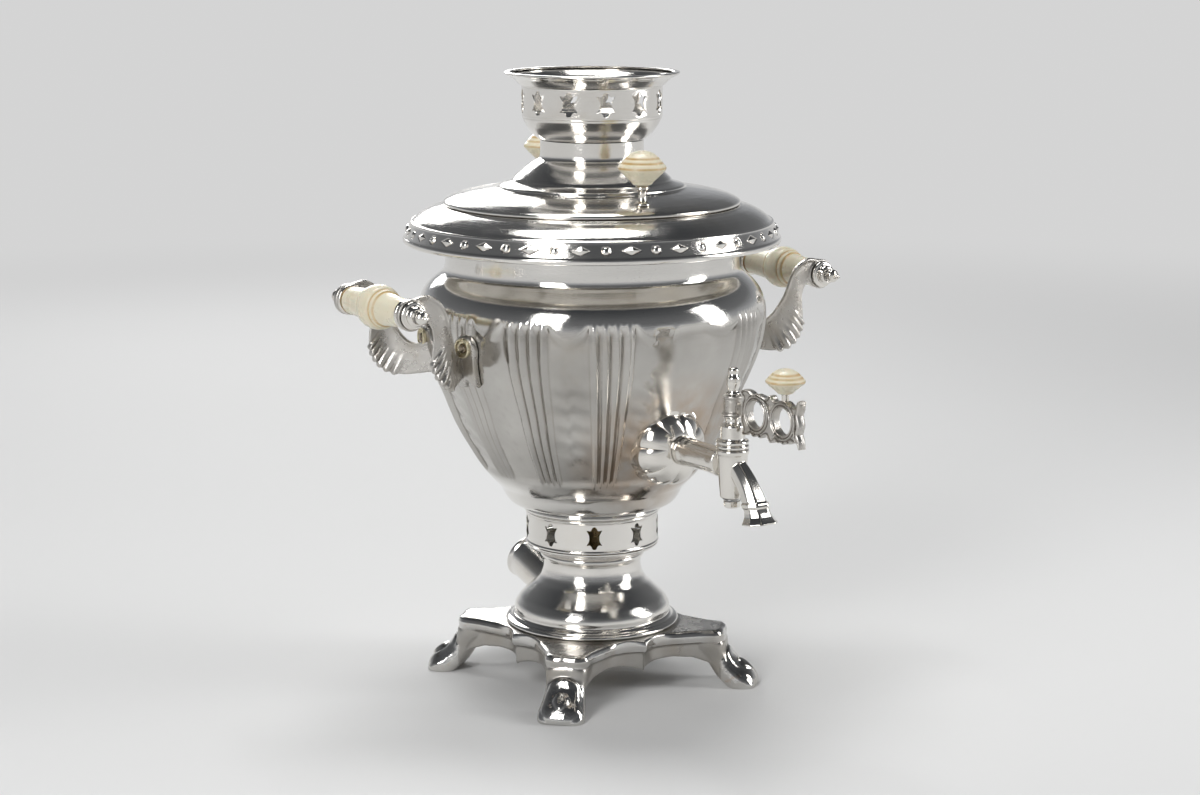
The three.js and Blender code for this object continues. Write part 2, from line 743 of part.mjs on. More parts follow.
function heightOn(profile, radius) {
  const k = profile.findIndex(([r]) => r <= radius);
  const [r0, z0] = profile[k - 1];
  const [r1, z1] = profile[k];
  return mix(z0, z1, (radius - r0) / (r1 - r0));
}
const knobSeat = heightOn(lidOuter, knobReach - knobStemRadius) + fit;
const knobUnder = heightOn(lidOuter, knobReach + knobStemRadius) - 2 * wall;

function lid() {
  const inner = offset(lidOuter, -wall).filter((_, i) => lidOuter[i][2] !== 0);
  const profile = [
    [lidRadius, lidSeat], ...lidOuter, [lidNeckRadius - wall, lidTop],
    ...inner.reverse(),
    [skirtRadius - wall, lidSeat + wall], [skirtRadius - wall, lidSeat - lidSkirt],
    [skirtRadius, lidSeat - lidSkirt], [skirtRadius, lidSeat], [lidRadius, lidSeat],
  ];
  const ventPlate = lidTop - ventPlateDepth;
  let shell = turn(profile).add(rod(lidNeckRadius - wall / 2, ventPlate, ventPlate + wall, roundSteps));
  for (let i = 0; i < ventCount; i += 1) {
    const vent = rod(ventRadius, ventPlate - overrun, lidTop, smallSteps).translate([0, ventReach, 0]);
    shell = shell.subtract(vent.rotate([0, 0, (i * 360) / ventCount]));
  }
  for (const side of [-1, 1]) {
    const hole = rod(lidHoleRadius, lidSeat - overrun, lidTop, smallSteps);
    shell = shell.subtract(knobPlace(hole, side));
  }
  return shell;
}
add("lid", lid(), nickel);

// Knob: a button on steps over a cone, half of it as shares of its radius and height
const knobShares = [
  [0.38, 0], [0.44, 0.08], [0.64, 0.2], [0.87, 0.36], [0.99, 0.46], [1, 0.52], [0.93, 0.585],
  [0.82, 0.635], [0.8, 0.67], [0.68, 0.735], [0.62, 0.77], [0.5, 0.89], [0.3, 0.97], [0, 1],
];
function knob(radius, height, foot, bore, depth) {
  const outer = knobShares.map(([u, v]) => [u * radius, foot + v * height]);
  return turn([[0, foot + depth], [bore, foot + depth], [bore, foot], ...outer], turnedSteps);
}
const knobFoot = knobSeat + knobStemHeight + fit;
const screwDepth = knobHeight / 2;
const stemShares = [[1, 0], [1, 0.1], [0.66, 0.3], [0.6, 0.55], [0.74, 0.85], [1, 1]];
function knobStem() {
  const outer = stemShares.map(([u, v]) => [u * knobStemRadius, knobSeat + v * knobStemHeight]);
  const tip = knobFoot + screwDepth - fit;
  const head = knobUnder - fit;
  return turn([
    [0, head - knobScrewRadius], [knobScrewRadius, head - knobScrewRadius], [knobStemRadius, head - fit],
    [knobStemRadius, head], [knobScrewRadius, head], [knobScrewRadius, knobSeat], ...outer,
    [knobScrewRadius, knobSeat + knobStemHeight], [knobScrewRadius, tip], [0, tip],
  ], smallSteps);
}
const lidKnob = knob(knobRadius, knobHeight, knobFoot, knobScrewRadius + fit, screwDepth);
add("lid_knob_front", knobPlace(lidKnob, 1), ivory);
add("lid_knob_rear", knobPlace(lidKnob, -1), ivory);
add("lid_knob_stem_front", knobPlace(knobStem(), 1), nickel);
add("lid_knob_stem_rear", knobPlace(knobStem(), -1), nickel);

// Crown: cup, pierced band and flared rim
const cupShares = [[0.03, 0.01], [0.45, 0.11], [0.78, 0.225], [0.95, 0.315]];
const flareShares = [[0, 0], [0.11, 0.15], [0.34, 0.41], [0.68, 0.68], [0.95, 0.86], [1, 0.94]];
function crown() {
  const neckInner = lidNeckRadius - wall;
  const spigotRadius = neckInner - play / 2;
  const flareFoot = crownSeat + crownHeight * 0.765;
  const top = crownSeat + crownHeight;
  const outer = [
    ...spread(cupShares, lidNeckRadius, crownRadius, crownSeat, top),
    [crownRadius, crownSeat + crownHeight * 0.35],
    ...spread(flareShares, crownRadius, crownRimRadius, flareFoot, top),
  ];
  const inner = offset(outer, -wall);
  const rimInner = mix(crownRadius, crownRimRadius, 0.66);
  const shell = turn([
    [spigotRadius, crownSeat - crownSpigot], [spigotRadius, crownSeat], ...outer,
    [crownRimRadius - wall / 2, top], [rimInner, top], ...inner.slice(1, -2).reverse(),
    [spigotRadius - wall, crownSeat + wall], [spigotRadius - wall, crownSeat - crownSpigot],
    [spigotRadius, crownSeat - crownSpigot],
  ]);
  const level = crownSeat + crownHeight * 0.57;
  return pierce(shell, crownCutCount, crownCutTurn, crownCutWidth, crownCutHeight, level, crownRadius);
}
add("crown", crown(), nickel);

// Handles
const gripReach = shoulderRadius + gripStandOff;
const plateMiddle = bracketSpan / 2;
const plateFace = plateMiddle - bracketThickness / 2;
const mirror = (body, side, end) => body.scale([side, end, 1]);

// Outline of a bracket: u runs from the grip's middle to the body, v down from it, as shares
const bracketShares = [
  [0.2, -0.24], [0.36, -0.19], [0.49, -0.09], [0.56, 0.04], [0.58, 0.14], [0.64, 0.26], [0.71, 0.38],
  [0.83, 0.52], [1.02, 0.62], [1.35, 0.7], [2.3, 0.7], [2.3, 1], [1.35, 1], [1.02, 0.995], [0.76, 0.97],
  [0.58, 0.93], [0.455, 0.84], [0.36, 0.71], [0.31, 0.58], [0.3, 0.44], [0.34, 0.29], [0.31, 0.16],
  [0.2, 0.09],
];
function bracket(side, end) {
  const outline = bracketShares.map(([u, v]) => [gripReach - u * gripStandOff, gripHeight - v * fanDrop]);
  const boss = plate(ringOutline(gripReach, gripHeight, bossRadius), bracketThickness);
  const upright = (piece) => piece.rotate([90, 0, 0]).translate([0, -plateFace, 0]);
  const sheet = upright(plate(outline, bracketThickness).add(boss));
  const footOutline = [
    [-plateMiddle, -0.5], [-plateMiddle, 0.2], [-plateMiddle * 0.8, 0.42], [-plateMiddle * 0.5, 0.5],
    [footDepth - plateMiddle, 0.3], [footDepth - plateMiddle, -0.42], [-plateMiddle * 0.6, -0.5],
  ].map(([y, z]) => [y, footLevel - footHeight * 0.06 + z * footHeight]);
  const prism = plate(footOutline, gripReach / 2).rotate([90, 0, 90]).translate([gripReach / 2, 0, 0]);
  const pad = mirror(prism, side, end).intersect(bodySkin(fit + footThickness));
  const hole = toScrew(rod(screwRadius + fit, shoulderRadius / 2, gripReach, smallSteps), -footAzimuth);
  const rodHole = rod(rodRadius + fit, -bracketSpan, bracketSpan).rotate([90, 0, 0]);
  return mirror(sheet, side, end).add(pad).subtract(bodySkin(fit)).subtract(mirror(hole, side, end))
    .subtract(rodHole.translate([side * gripReach, 0, gripHeight]));
}
add("left_front_bracket", bracket(-1, 1), castNickel);
add("left_rear_bracket", bracket(-1, -1), castNickel);
add("right_front_bracket", bracket(1, 1), castNickel);
add("right_rear_bracket", bracket(1, -1), castNickel);

// What turns on the rod is made along Z and laid along Y at the grip's axis
const onRod = (body, side) => body.rotate([90, 0, 0]).translate([side * gripReach, 0, gripHeight]);
const gripHalf = plateFace - fit - ferruleLength - fit;
const gripShares = [
  [1, 0.98], [0.96, 1], [0.32, 1.18], [0.3, 1.27], [0.2, 1.33], [0.19, 1.48], [0.1, 1.58],
];
function grip() {
  const half = gripShares.map(([v, u]) => [u * gripEndRadius, v * gripHalf]);
  const outer = [...half.map(([r, z]) => [r, -z]), [gripRadius, 0], ...half.slice().reverse()];
  const bore = rodRadius + fit;
  return turn([[bore, -gripHalf], ...outer, [bore, gripHalf], [bore, -gripHalf]], turnedSteps);
}
function ferrule() {
  const bore = rodRadius + fit;
  const low = plateFace - fit - ferruleLength;
  return turn([
    [bore, low], [ferruleRadius, low], [ferruleRadius, low + ferruleLength * 0.6],
    [ferruleRadius * 0.93, low + ferruleLength], [bore, low + ferruleLength], [bore, low],
  ], turnedSteps);
}
const acornShares = [
  [1, 0], [1, 0.14], [0.86, 0.18], [0.78, 0.3], [0.76, 0.42], [0.6, 0.56], [0.28, 0.7],
  [0.36, 0.79], [0.34, 0.9], [0, 1],
];
function acorn() {
  const low = plateMiddle + bracketThickness / 2 + fit;
  const outer = acornShares.map(([u, v]) => [u * acornRadius, low + v * acornLength]);
  const depth = low + rodTail;
  return turn([[0, depth], [rodRadius + fit, depth], [rodRadius + fit, low], ...outer], turnedSteps);
}
const rodHalf = plateMiddle + bracketThickness / 2 + rodTail - fit;
for (const [name, side] of [["left", -1], ["right", 1]]) {
  add(`${name}_handle_rod`, onRod(rod(rodRadius, -rodHalf, rodHalf, smallSteps), side), steel);
  add(`${name}_grip`, onRod(grip(), side), ivory);
  for (const [end, about] of [["front", 0], ["rear", 180]]) {
    add(`${name}_${end}_ferrule`, onRod(ferrule().rotate([about, 0, 0]), side), nickel);
    add(`${name}_${end}_acorn_nut`, onRod(acorn().rotate([about, 0, 0]), side), nickel);
  }
}

// Screws that hold the feet of the brackets, each over a cup washer
const cupSeat = fit + footThickness + fit;
const cupTop = footReach + cupSeat + cupHeight;
const cupWasher = disc(cupRadius, screwRadius + fit, footReach - cupRadius, cupTop, smallSteps);
const screw = turn([
  [0, footReach - screwNutHeight - fit], [screwRadius, footReach - screwNutHeight - fit],
  [screwRadius, cupTop + fit],
  [screwHeadRadius, cupTop + fit], [screwHeadRadius, cupTop + fit + screwHeadHeight * 0.5],
  [screwHeadRadius * 0.6, cupTop + fit + screwHeadHeight], [0, cupTop + fit + screwHeadHeight],
], smallSteps);
const inCavity = bodyCavity(fit);
const overFeet = bodySkin(cupSeat);
const screwNames = ["right_rear", "right_front", "left_rear", "left_front"];
screwPlaces.forEach((azimuth, i) => {
  add(`${screwNames[i]}_bracket_screw`, toScrew(screw, azimuth), brass);
  add(`${screwNames[i]}_cup_washer`, toScrew(cupWasher, azimuth).subtract(overFeet), brass);
});

// Tap: all of it along -Y from the body
function escutcheon() {
  const low = wallAtTap - escutcheonRadius;
  const top = wallAtTap + escutcheonDepth;
  const crest = escutcheonDepth;
  const domeShares = [[1, 0.1], [0.98, 0.4], [0.9, 0.65], [0.74, 0.86], [0.5, 0.97], [0.34, 1]];
  const dome = domeShares.map(([u, v]) => [u * escutcheonRadius, wallAtTap + v * crest]);
  const lobes = (angle) => -escutcheonRadius * 0.07 * Math.abs(Math.cos((angle * escutcheonLobes) / 2));
  const bore = shankRadius + fit;
  const outer = turn([[0, low], [escutcheonRadius, low], ...dome, [0, top]], 4 * escutcheonLobes,
    (angle, z) => lobes(angle) * (z < top ? 1 : 0));
  const hollow = turn([
    [0, low - overrun], [escutcheonRadius * 0.8, low - overrun],
    [escutcheonRadius * 0.8, wallAtTap + crest * 0.5],
    [escutcheonRadius * 0.55, wallAtTap + crest * 0.75], [bore, wallAtTap + crest * 0.82],
    [0, wallAtTap + crest * 0.82],
  ], turnedSteps);
  return lay(outer.subtract(hollow).subtract(rod(bore, 0, spigot))).subtract(bodySkin(fit));
}
add("tap_escutcheon", escutcheon(), nickel);

const noseStations = 7;
const noseShares = [[0.1, 0.02], [0.28, -0.12], [0.5, -0.3], [0.72, -0.54], [0.86, -0.76], [0.95, -1]];
function noseRings(grow, count) {
  const start = spigot;
  const reach = noseReach / 0.95;
  const places = noseShares.map(([u, v]) => [start + u * reach, tapHeight + v * noseDrop]);
  const curve = new THREE.SplineCurve(vector(places));
  const rings = [];
  for (let i = 0; i < noseStations; i += 1) {
    const t = i / (noseStations - 1);
    const middle = curve.getPoint(t);
    const direction = i === noseStations - 1 ? new THREE.Vector2(0, -1) : curve.getTangent(t);
    const size = mix(pipeRadius * 0.72, mouthRadius, t * t * 0.4 + t * 0.6) * grow;
    const side = new THREE.Vector3(1, 0, 0);
    const up = new THREE.Vector3(0, direction.y, direction.x);
    rings.push(Array.from({ length: count }, (_, k) => {
      const angle = ((k + 0.5) / count) * tau;
      return new THREE.Vector3(0, -middle.x, middle.y)
        .addScaledVector(side, size * Math.cos(angle)).addScaledVector(up, size * Math.sin(angle));
    }));
  }
  return rings;
}

const atSpigot = (body) => body.translate([0, -spigot, tapHeight]);
const seatTaper = (grow, low, high) => turn([
  [0, low],
  [mix(plugBottomRadius, plugTopRadius, (low - barrelBottom) / (barrelTop - barrelBottom)) + grow, low],
  [mix(plugBottomRadius, plugTopRadius, (high - barrelBottom) / (barrelTop - barrelBottom)) + grow, high],
  [0, high],
], turnedSteps);

const shankEnd = wallAtTap - shankInside;
function tapBody() {
  const shank = rod(shankRadius, shankEnd, spigot - barrelTopRadius / 2);
  const pipeFoot = wallAtTap + escutcheonDepth + fit;
  const pipe = turn([
    [0, pipeFoot], [shankRadius + wall / 2, pipeFoot], [pipeRadius, spigot - barrelTopRadius],
    [pipeRadius, spigot - barrelTopRadius / 2], [0, spigot - barrelTopRadius / 2],
  ], turnedSteps);
  const barrel = turn([
    [0, barrelBottom], [barrelBottomRadius, barrelBottom], [barrelTopRadius * 0.94, barrelTop * 0.68],
    [barrelTopRadius * 1.02, barrelTop * 0.74], [barrelTopRadius * 1.02, barrelTop], [0, barrelTop],
  ], turnedSteps);
  const bore = rod(waterBore, shankEnd - overrun, spigot, smallSteps);
  const inside = noseRings(0.58, smallSteps);
  const first = inside[0].map((p) => p.clone().setY(p.y + pipeRadius));
  const last = inside[inside.length - 1].map((p) => p.clone().setZ(p.z - overrun));
  return union([lay(shank), lay(pipe), atSpigot(barrel), loft(noseRings(1, 8))])
    .subtract(lay(bore)).subtract(loft([first, ...inside, last]))
    .subtract(atSpigot(seatTaper(fit, barrelBottom - overrun, barrelTop + overrun)));
}
add("tap_body", tapBody(), castNickel);

// Inside the tank: a rubber wedge against the sloping wall, and the nut of the shank
const shankNutTop = shankEnd + nutHeight + fit;
const wedge = disc(nutRadius, shankRadius + fit, shankNutTop + fit, wallAtTap + nutRadius);
add("tap_inner_gasket", lay(wedge).intersect(inCavity), rubber);
add("tap_inner_nut", lay(hexNut(nutRadius, shankRadius + fit, shankEnd + fit, shankNutTop)), brass);

// Plug: taper, collar and stem in one, with a cross hole that is shut at rest
const plugFlange = barrelTop + fit;
const hubFoot = plugFlange + collarHeight;
const hubTop = hubFoot + keyHubHeight;
const plugTail = barrelBottom - plugNutHeight - 2 * fit - washerHeight / 2;
const collarShares = [
  [1.31, 0], [1.31, 0.09], [1.18, 0.13], [1.31, 0.17], [1.3, 0.25], [1, 0.29], [1, 0.7], [0.85, 0.74],
  [0.6, 0.76], [0.58, 0.93], [0.8, 0.96], [0.8, 1 - fit / collarHeight],
];
function plug() {
  const collar = collarShares.map(([u, v]) => [u * collarRadius, plugFlange + v * collarHeight]);
  const body = turn([
    [0, plugTail], [plugTailRadius, plugTail], [plugTailRadius, barrelBottom - fit],
    [plugBottomRadius, barrelBottom], [plugTopRadius, barrelTop], [plugTopRadius, plugFlange], ...collar,
    [stemRadius, hubFoot - fit], [stemRadius, hubTop], [stemRadius * 0.7, hubTop],
    [stemRadius * 0.7, hubTop + finialHeight * 0.35], [0, hubTop + finialHeight * 0.35],
  ], turnedSteps);
  const across = rod(waterBore, -overrun - pipeRadius, overrun + pipeRadius, smallSteps).rotate([0, 90, 0]);
  return atSpigot(body.subtract(across));
}
add("tap_plug", plug(), brass);

const tailHole = plugTailRadius + fit;
const springTop = barrelBottom - fit;
add(
  "plug_spring_washer",
  atSpigot(disc(barrelBottomRadius * 0.8, tailHole, springTop - washerHeight / 2, springTop)),
  steel,
);
const plugNutTop = springTop - washerHeight / 2 - fit;
add("plug_nut", atSpigot(disc(plugNutRadius, tailHole, plugNutTop - plugNutHeight, plugNutTop, 8)), nickel);

// Key: hub, two rings, a scalloped edge and an end bar; it is drawn in (reach, height) and turned upright
const keyLevel = hubFoot + keyHubHeight * 0.36;
const barTop = keyLevel + keyBarHeight / 2;
function key() {
  const ringAt = (x) => plate(ringOutline(x, keyLevel, keyRingRadius), keyThickness);
  const holeAt = (x) => plate(ringOutline(x, keyLevel, keyRingBore), keyThickness + 2 * overrun)
    .translate([0, 0, -overrun]);
  const link = (x0, x1, z0, z1) => plate([[x0, z0], [x1, z0], [x1, z1], [x0, z1]], keyThickness);
  const thorn = (x, up, lean) => plate([
    [x - keyRingRadius * 0.3, keyLevel + up * keyRingRadius * 0.6],
    [x + keyRingRadius * 0.3, keyLevel + up * keyRingRadius * 0.6],
    [x + lean * keyRingRadius * 0.35, keyLevel + up * keyRingRadius * 1.14],
  ], keyThickness);
  const firstEdge = keyFirstRing - keyRingRadius * 0.85;
  const between = (keyFirstRing + keySecondRing) / 2;
  const parts = [
    ringAt(keyFirstRing), ringAt(keySecondRing),
    link(
      stemRadius, keyFirstRing - keyRingBore, keyLevel - keyHubHeight * 0.3, keyLevel + keyHubHeight * 0.36,
    ),
    link(between - keyRingRadius * 0.35, between + keyRingRadius * 0.35,
      keyLevel - keyRingRadius * 0.62, keyLevel + keyRingRadius * 0.62),
    link(keyEnd - keyBarWidth, keyEnd, keyLevel - keyBarHeight / 2, barTop),
    link(
      keySecondRing + keyRingBore, keyEnd, keyLevel - keyRingRadius * 0.3, keyLevel + keyRingRadius * 0.3,
    ),
  ];
  for (const up of [-1, 1]) {
    parts.push(thorn(firstEdge, up, -1), thorn(between, up, 0));
  }
  const sheet = union(parts).subtract(holeAt(keyFirstRing)).subtract(holeAt(keySecondRing))
    .translate([0, 0, -keyThickness / 2]).rotate([90, 0, 0]).rotate([0, 0, -90]);
  const hubShares = [
    [1, 0], [1.12, 0.02], [1.12, 0.12], [0.96, 0.17], [0.96, 0.84], [1.06, 0.88], [1.06, 1],
  ];
  const hubOuter = hubShares.map(([u, v]) => [u * keyHubRadius, hubFoot + v * (keyHubHeight - fit)]);
  const hub = turn([[0, hubFoot], ...hubOuter, [0, hubTop - fit]], turnedSteps);
  const pinHoleFoot = keyLevel + keyRingRadius - keyPinInset;
  const pinHole = rod(keyPinRadius + fit, pinHoleFoot, barTop + overrun, smallSteps);
  return atSpigot(
    hub.add(sheet).subtract(rod(stemRadius + fit, hubFoot - overrun, hubTop + overrun))
      .subtract(pinHole.translate([0, -keySecondRing, 0])),
  );
}
add("tap_key", key(), castNickel);

const finialShares = [
  [1, 0], [1, 0.07], [0.72, 0.14], [0.72, 0.24], [0.98, 0.4], [1.02, 0.55], [0.96, 0.68],
  [0.66, 0.76], [0.66, 0.84], [0.76, 0.9], [0.6, 0.98], [0, 1],
];
const finialBore = stemRadius * 0.7 + fit;
const finialDepth = finialHeight * 0.35 + fit;
const finial = turn([
  [0, hubTop + finialDepth], [finialBore, hubTop + finialDepth], [finialBore, hubTop + fit],
  ...finialShares.map(([u, v]) => [u * finialRadius, hubTop + fit + v * finialHeight]),
], turnedSteps);
add("key_finial", atSpigot(finial), nickel);

const pinLow = keyLevel + keyRingRadius - keyPinInset + fit;
const keyKnobFoot = keyLevel + keyRingRadius + keyPinRise;
const keyKnobDepth = keyKnobHeight * 0.45;
const overKey = (body) => atSpigot(body.translate([0, -keySecondRing, 0]));
const keyPin = rod(keyPinRadius, pinLow, keyKnobFoot + keyKnobDepth - fit, smallSteps);
const keyKnob = knob(keyKnobRadius, keyKnobHeight, keyKnobFoot, keyPinRadius + fit, keyKnobDepth);
add("key_knob_pin", overKey(keyPin), nickel);
add("key_knob", overKey(keyKnob), ivory);

// The origin is under the middle of the whole outline: the key reaches furthest forward, the ring back
const keyReach = spigot + keyEnd;
root.position.y = (keyReach - ringRadius) / 2;

export default root;
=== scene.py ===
import math

import bmesh
import bpy
from mathutils import Matrix, Vector


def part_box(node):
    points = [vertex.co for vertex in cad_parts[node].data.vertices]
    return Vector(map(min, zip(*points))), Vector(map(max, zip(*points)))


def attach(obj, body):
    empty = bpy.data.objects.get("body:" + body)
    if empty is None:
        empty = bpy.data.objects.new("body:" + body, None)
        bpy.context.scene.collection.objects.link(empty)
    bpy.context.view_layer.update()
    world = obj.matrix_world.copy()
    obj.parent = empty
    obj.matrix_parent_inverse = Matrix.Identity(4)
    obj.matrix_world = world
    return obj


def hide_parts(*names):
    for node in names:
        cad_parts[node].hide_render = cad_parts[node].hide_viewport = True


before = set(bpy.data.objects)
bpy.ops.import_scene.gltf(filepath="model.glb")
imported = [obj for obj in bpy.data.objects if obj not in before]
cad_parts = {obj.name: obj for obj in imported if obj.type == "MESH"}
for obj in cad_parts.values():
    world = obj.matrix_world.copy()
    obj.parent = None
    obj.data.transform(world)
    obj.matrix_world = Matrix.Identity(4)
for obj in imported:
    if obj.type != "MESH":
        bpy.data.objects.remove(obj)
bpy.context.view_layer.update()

mm = 0.001

# Table, light and camera
# The samovar stands on a plain pale table in a plain pale studio.
# Four soft boxes stand round it, so that the nickel shows narrow bright bands and darker air between them.
tie_low, tie_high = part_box("tie_tube")
middle_y = (tie_low.y + tie_high.y) / 2
middle = Vector((0, middle_y, 0))
view_turn = math.radians(34)
view_tilt = math.radians(10.98)
view_distance = 1557.1 * mm
view_height = 482.8 * mm
photo_width = 1200
photo_focal = 2525.7
photo_axis = 592
sensor_width = 36
lamp_table = [
    ("lamp_left", (-1.5, -0.75, 1.05), 0.55, 1.2, 19),
    ("lamp_right", (1.25, -0.95, 0.75), 0.4, 1.1, 12),
    ("lamp_top", (0.1, 0.35, 1.9), 0.9, 0.6, 19),
    ("lamp_back", (0.6, 1.7, 0.9), 0.9, 0.7, 12),
]
lamp_aim = middle + Vector((0, 0, 0.2))
horizon_glow = (0.66, 0.66, 0.66, 1)
table_colour = (0.7, 0.7, 0.695, 1)
table_half = 60
fade_reach = (0.5, 2.3)


def added(name, data):
    """A new object of the scene with this data."""
    thing = bpy.data.objects.new(name, data)
    bpy.context.collection.objects.link(thing)
    return thing


def wired(tree, kind, *feeds, **settings):
    """A new node; feeds are sockets to link, values or None, in the order of its inputs."""
    made = tree.nodes.new(kind)
    for key, value in settings.items():
        setattr(made, key, value)
    for socket, feed in zip(made.inputs, feeds):
        if isinstance(feed, bpy.types.NodeSocket):
            tree.links.new(feed, socket)
        elif feed is not None:
            socket.default_value = feed
    return made


def studio_air():
    """Pale at the horizon and dark overhead, like a room lit by soft boxes alone."""
    world = bpy.data.worlds.new("studio_air")
    bpy.context.scene.world = world
    world.use_nodes = True
    tree = world.node_tree
    tree.nodes.clear()
    direction = wired(tree, "ShaderNodeTexCoord").outputs["Generated"]
    height = wired(tree, "ShaderNodeSeparateXYZ", direction).outputs["Z"]
    ramp = wired(tree, "ShaderNodeValToRGB", height)
    stops = ramp.color_ramp.elements
    stops[0].position = 0.01
    stops[0].color = horizon_glow
    stops[1].position = 0.85
    stops[1].color = (0.05, 0.053, 0.058, 1)
    for up_to, glow in ((0.12, 0.4), (0.3, 0.16)):
        stops.new(up_to).color = (glow * 0.97, glow, glow * 1.05, 1)
    air = wired(tree, "ShaderNodeBackground", ramp.outputs[0])
    wired(tree, "ShaderNodeOutputWorld", air.outputs[0])


def table_finish():
    """Matt and pale, with the samovar's shadow; far off it fades into the air."""
    finish = bpy.data.materials.new("table_top")
    finish.use_nodes = True
    tree = finish.node_tree
    tree.nodes.clear()
    seen = wired(tree, "ShaderNodeLightPath").outputs
    total = seen["Is Camera Ray"]
    for kind in ("Is Glossy Ray", "Is Transmission Ray"):
        total = wired(tree, "ShaderNodeMath", total, seen[kind], operation="MAXIMUM").outputs[0]
    spot = wired(tree, "ShaderNodeTexCoord").outputs["Object"]
    reach = wired(tree, "ShaderNodeVectorMath", spot, operation="LENGTH").outputs["Value"]
    far = wired(tree, "ShaderNodeMapRange", reach, *fade_reach, interpolation_type="SMOOTHSTEP").outputs[0]
    share = wired(tree, "ShaderNodeMath", far, total, operation="MULTIPLY").outputs[0]
    matt = wired(tree, "ShaderNodeBsdfDiffuse", table_colour).outputs[0]
    haze = wired(tree, "ShaderNodeEmission", horizon_glow).outputs[0]
    blend = wired(tree, "ShaderNodeMixShader", share, matt, haze).outputs[0]
    wired(tree, "ShaderNodeOutputMaterial", blend)
    return finish


lens = bpy.data.cameras.new("photo_view")
lens.sensor_width = sensor_width
lens.lens = sensor_width * photo_focal / photo_width
lens.shift_x = (photo_width / 2 - photo_axis) / photo_width
camera = added("photo_view", lens)
towards = Vector((-math.sin(view_turn), -math.cos(view_turn), 0))
camera.location = middle + towards * view_distance + Vector((0, 0, view_height))
camera.rotation_euler = (math.pi / 2 - view_tilt, 0, -view_turn)
bpy.context.scene.camera = camera
bpy.context.scene.view_settings.view_transform = "Standard"
for name, stand_at, width, height, power in lamp_table:
    lamp = bpy.data.lights.new(name, "AREA")
    lamp.shape = "RECTANGLE"
    lamp.size, lamp.size_y, lamp.energy = width, height, power
    stand = added(name, lamp)
    stand.location = middle + Vector(stand_at)
    stand.rotation_euler = (lamp_aim - stand.location).to_track_quat("-Z", "Y").to_euler()
studio_air()
table_mesh = bpy.data.meshes.new("table")
corners = [(x * table_half, y * table_half, 0) for x, y in ((-1, -1), (1, -1), (1, 1), (-1, 1))]
table_mesh.from_pydata(corners, [], [(0, 1, 2, 3)])
table_mesh.materials.append(table_finish())
added("table", table_mesh)

# Base
# The base is one brass casting: a square plate with drawn-in sides, an apron under its rolled edge
# and four cabriole legs on the diagonals. It is nickel plated and lightly polished.
base_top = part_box("base")[1].z / mm
seat_radius = 56
hole_radius = 6.6
seat_side = [(hole_radius, 0), (seat_radius * 0.6, 0), (seat_radius - 1.4, 0), (seat_radius, 0.5)]
plate_wall = 3.2
apron_sunk = 2.3
plate_steps = 432
leg_steps = 28
half_side = [
    (0, 60.6), (4, 57.8), (10, 55.2), (16, 54.6), (20, 55.2), (25, 56.8), (30, 58.7), (35, 60.5), (40.5, 62.8),
    (45, 65.4), (49.6, 67.6), (55.4, 66.2), (60.8, 60.8),
]
apron_edge = [(0, 16.4), (5, 18.3), (12, 20), (24, 20.8), (36, 19.5), (44, 16), (50, 12), (61, 12)]
# Stations of a leg: outer reach and height, inner reach and height, half width
leg_stations = [
    (68, 32, 60, 26, 13.6), (79, 32, 69, 22, 13.8), (86, 30, 74.4, 17, 13), (87.4, 23, 77.4, 12, 12.2),
    (90.6, 16.4, 81, 6.6, 12.7), (96.8, 11, 86, 1.6, 13.8), (102.6, 7.6, 91, -2.4, 14.6),
    (106, 3.6, 96, -4, 13.8), (106.9, 0.6, 100, -4, 11),
]
paw_stations = [
    (87.8, 24.4, 84, 20, 5), (89.4, 22.8, 83.4, 15, 8.8), (92.6, 18, 84, 9, 11), (97.4, 13.4, 88, 3, 12.4),
    (103, 9.8, 93, -2, 13.4), (106.6, 5, 98, -4, 11.8), (107.3, 1, 101, -4, 7),
]
toe_shield = [
    (94.8, 16.8, 93, 11, 3), (96.8, 16.2, 94, 9, 5), (99.8, 14.4, 96, 7, 5.7), (102.8, 12, 98, 4, 4.8),
    (104.6, 9.6, 100, 3, 2.6),
]


def spline(points, steps):
    """A smooth curve through points of any number of coordinates."""
    line = []
    last = len(points) - 1
    for i in range(last):
        four = [points[min(max(n, 0), last)] for n in (i - 1, i, i + 1, i + 2)]
        for k in range(steps):
            t = k / steps
            line.append(tuple(
                0.5 * (2 * b + (c - a) * t + (2 * a - 5 * b + 4 * c - d) * t * t + (3 * b - a - 3 * c + d) * t ** 3)
                for a, b, c, d in zip(*four)
            ))
    return line + [tuple(points[-1])]


def ease(low, high, x):
    """0 below low, 1 above high and smooth between."""
    t = min(max((x - low) / (high - low), 0), 1)
    return t * t * (3 - 2 * t)


def read_off(table, x):
    """The value at this place of a table of (place, value)."""
    if x <= table[0][0]:
        return table[0][1]
    for (x0, v0), (x1, v1) in zip(table, table[1:]):
        if x <= x1:
            return v0 + (v1 - v0) * (x - x0) / (x1 - x0)
    return table[-1][1]


def shaded(mesh, crease):
    """Smooth, but sharp where faces meet at more than the crease."""
    mesh.polygons.foreach_set("use_smooth", [True] * len(mesh.polygons))
    mesh.set_sharp_from_angle(angle=math.radians(crease))


def new_piece(name, points, faces, crease=38):
    """A piece from points in millimetres round the samovar's axis."""
    mesh = bpy.data.meshes.new(name)
    mesh.from_pydata([middle + Vector(p) * mm for p in points], [], faces)
    work = bmesh.new()
    work.from_mesh(mesh)
    bmesh.ops.remove_doubles(work, verts=work.verts, dist=1e-6)
    bmesh.ops.recalc_face_normals(work, faces=work.faces)
    work.to_mesh(mesh)
    work.free()
    shaded(mesh, crease)
    return added(name, mesh)


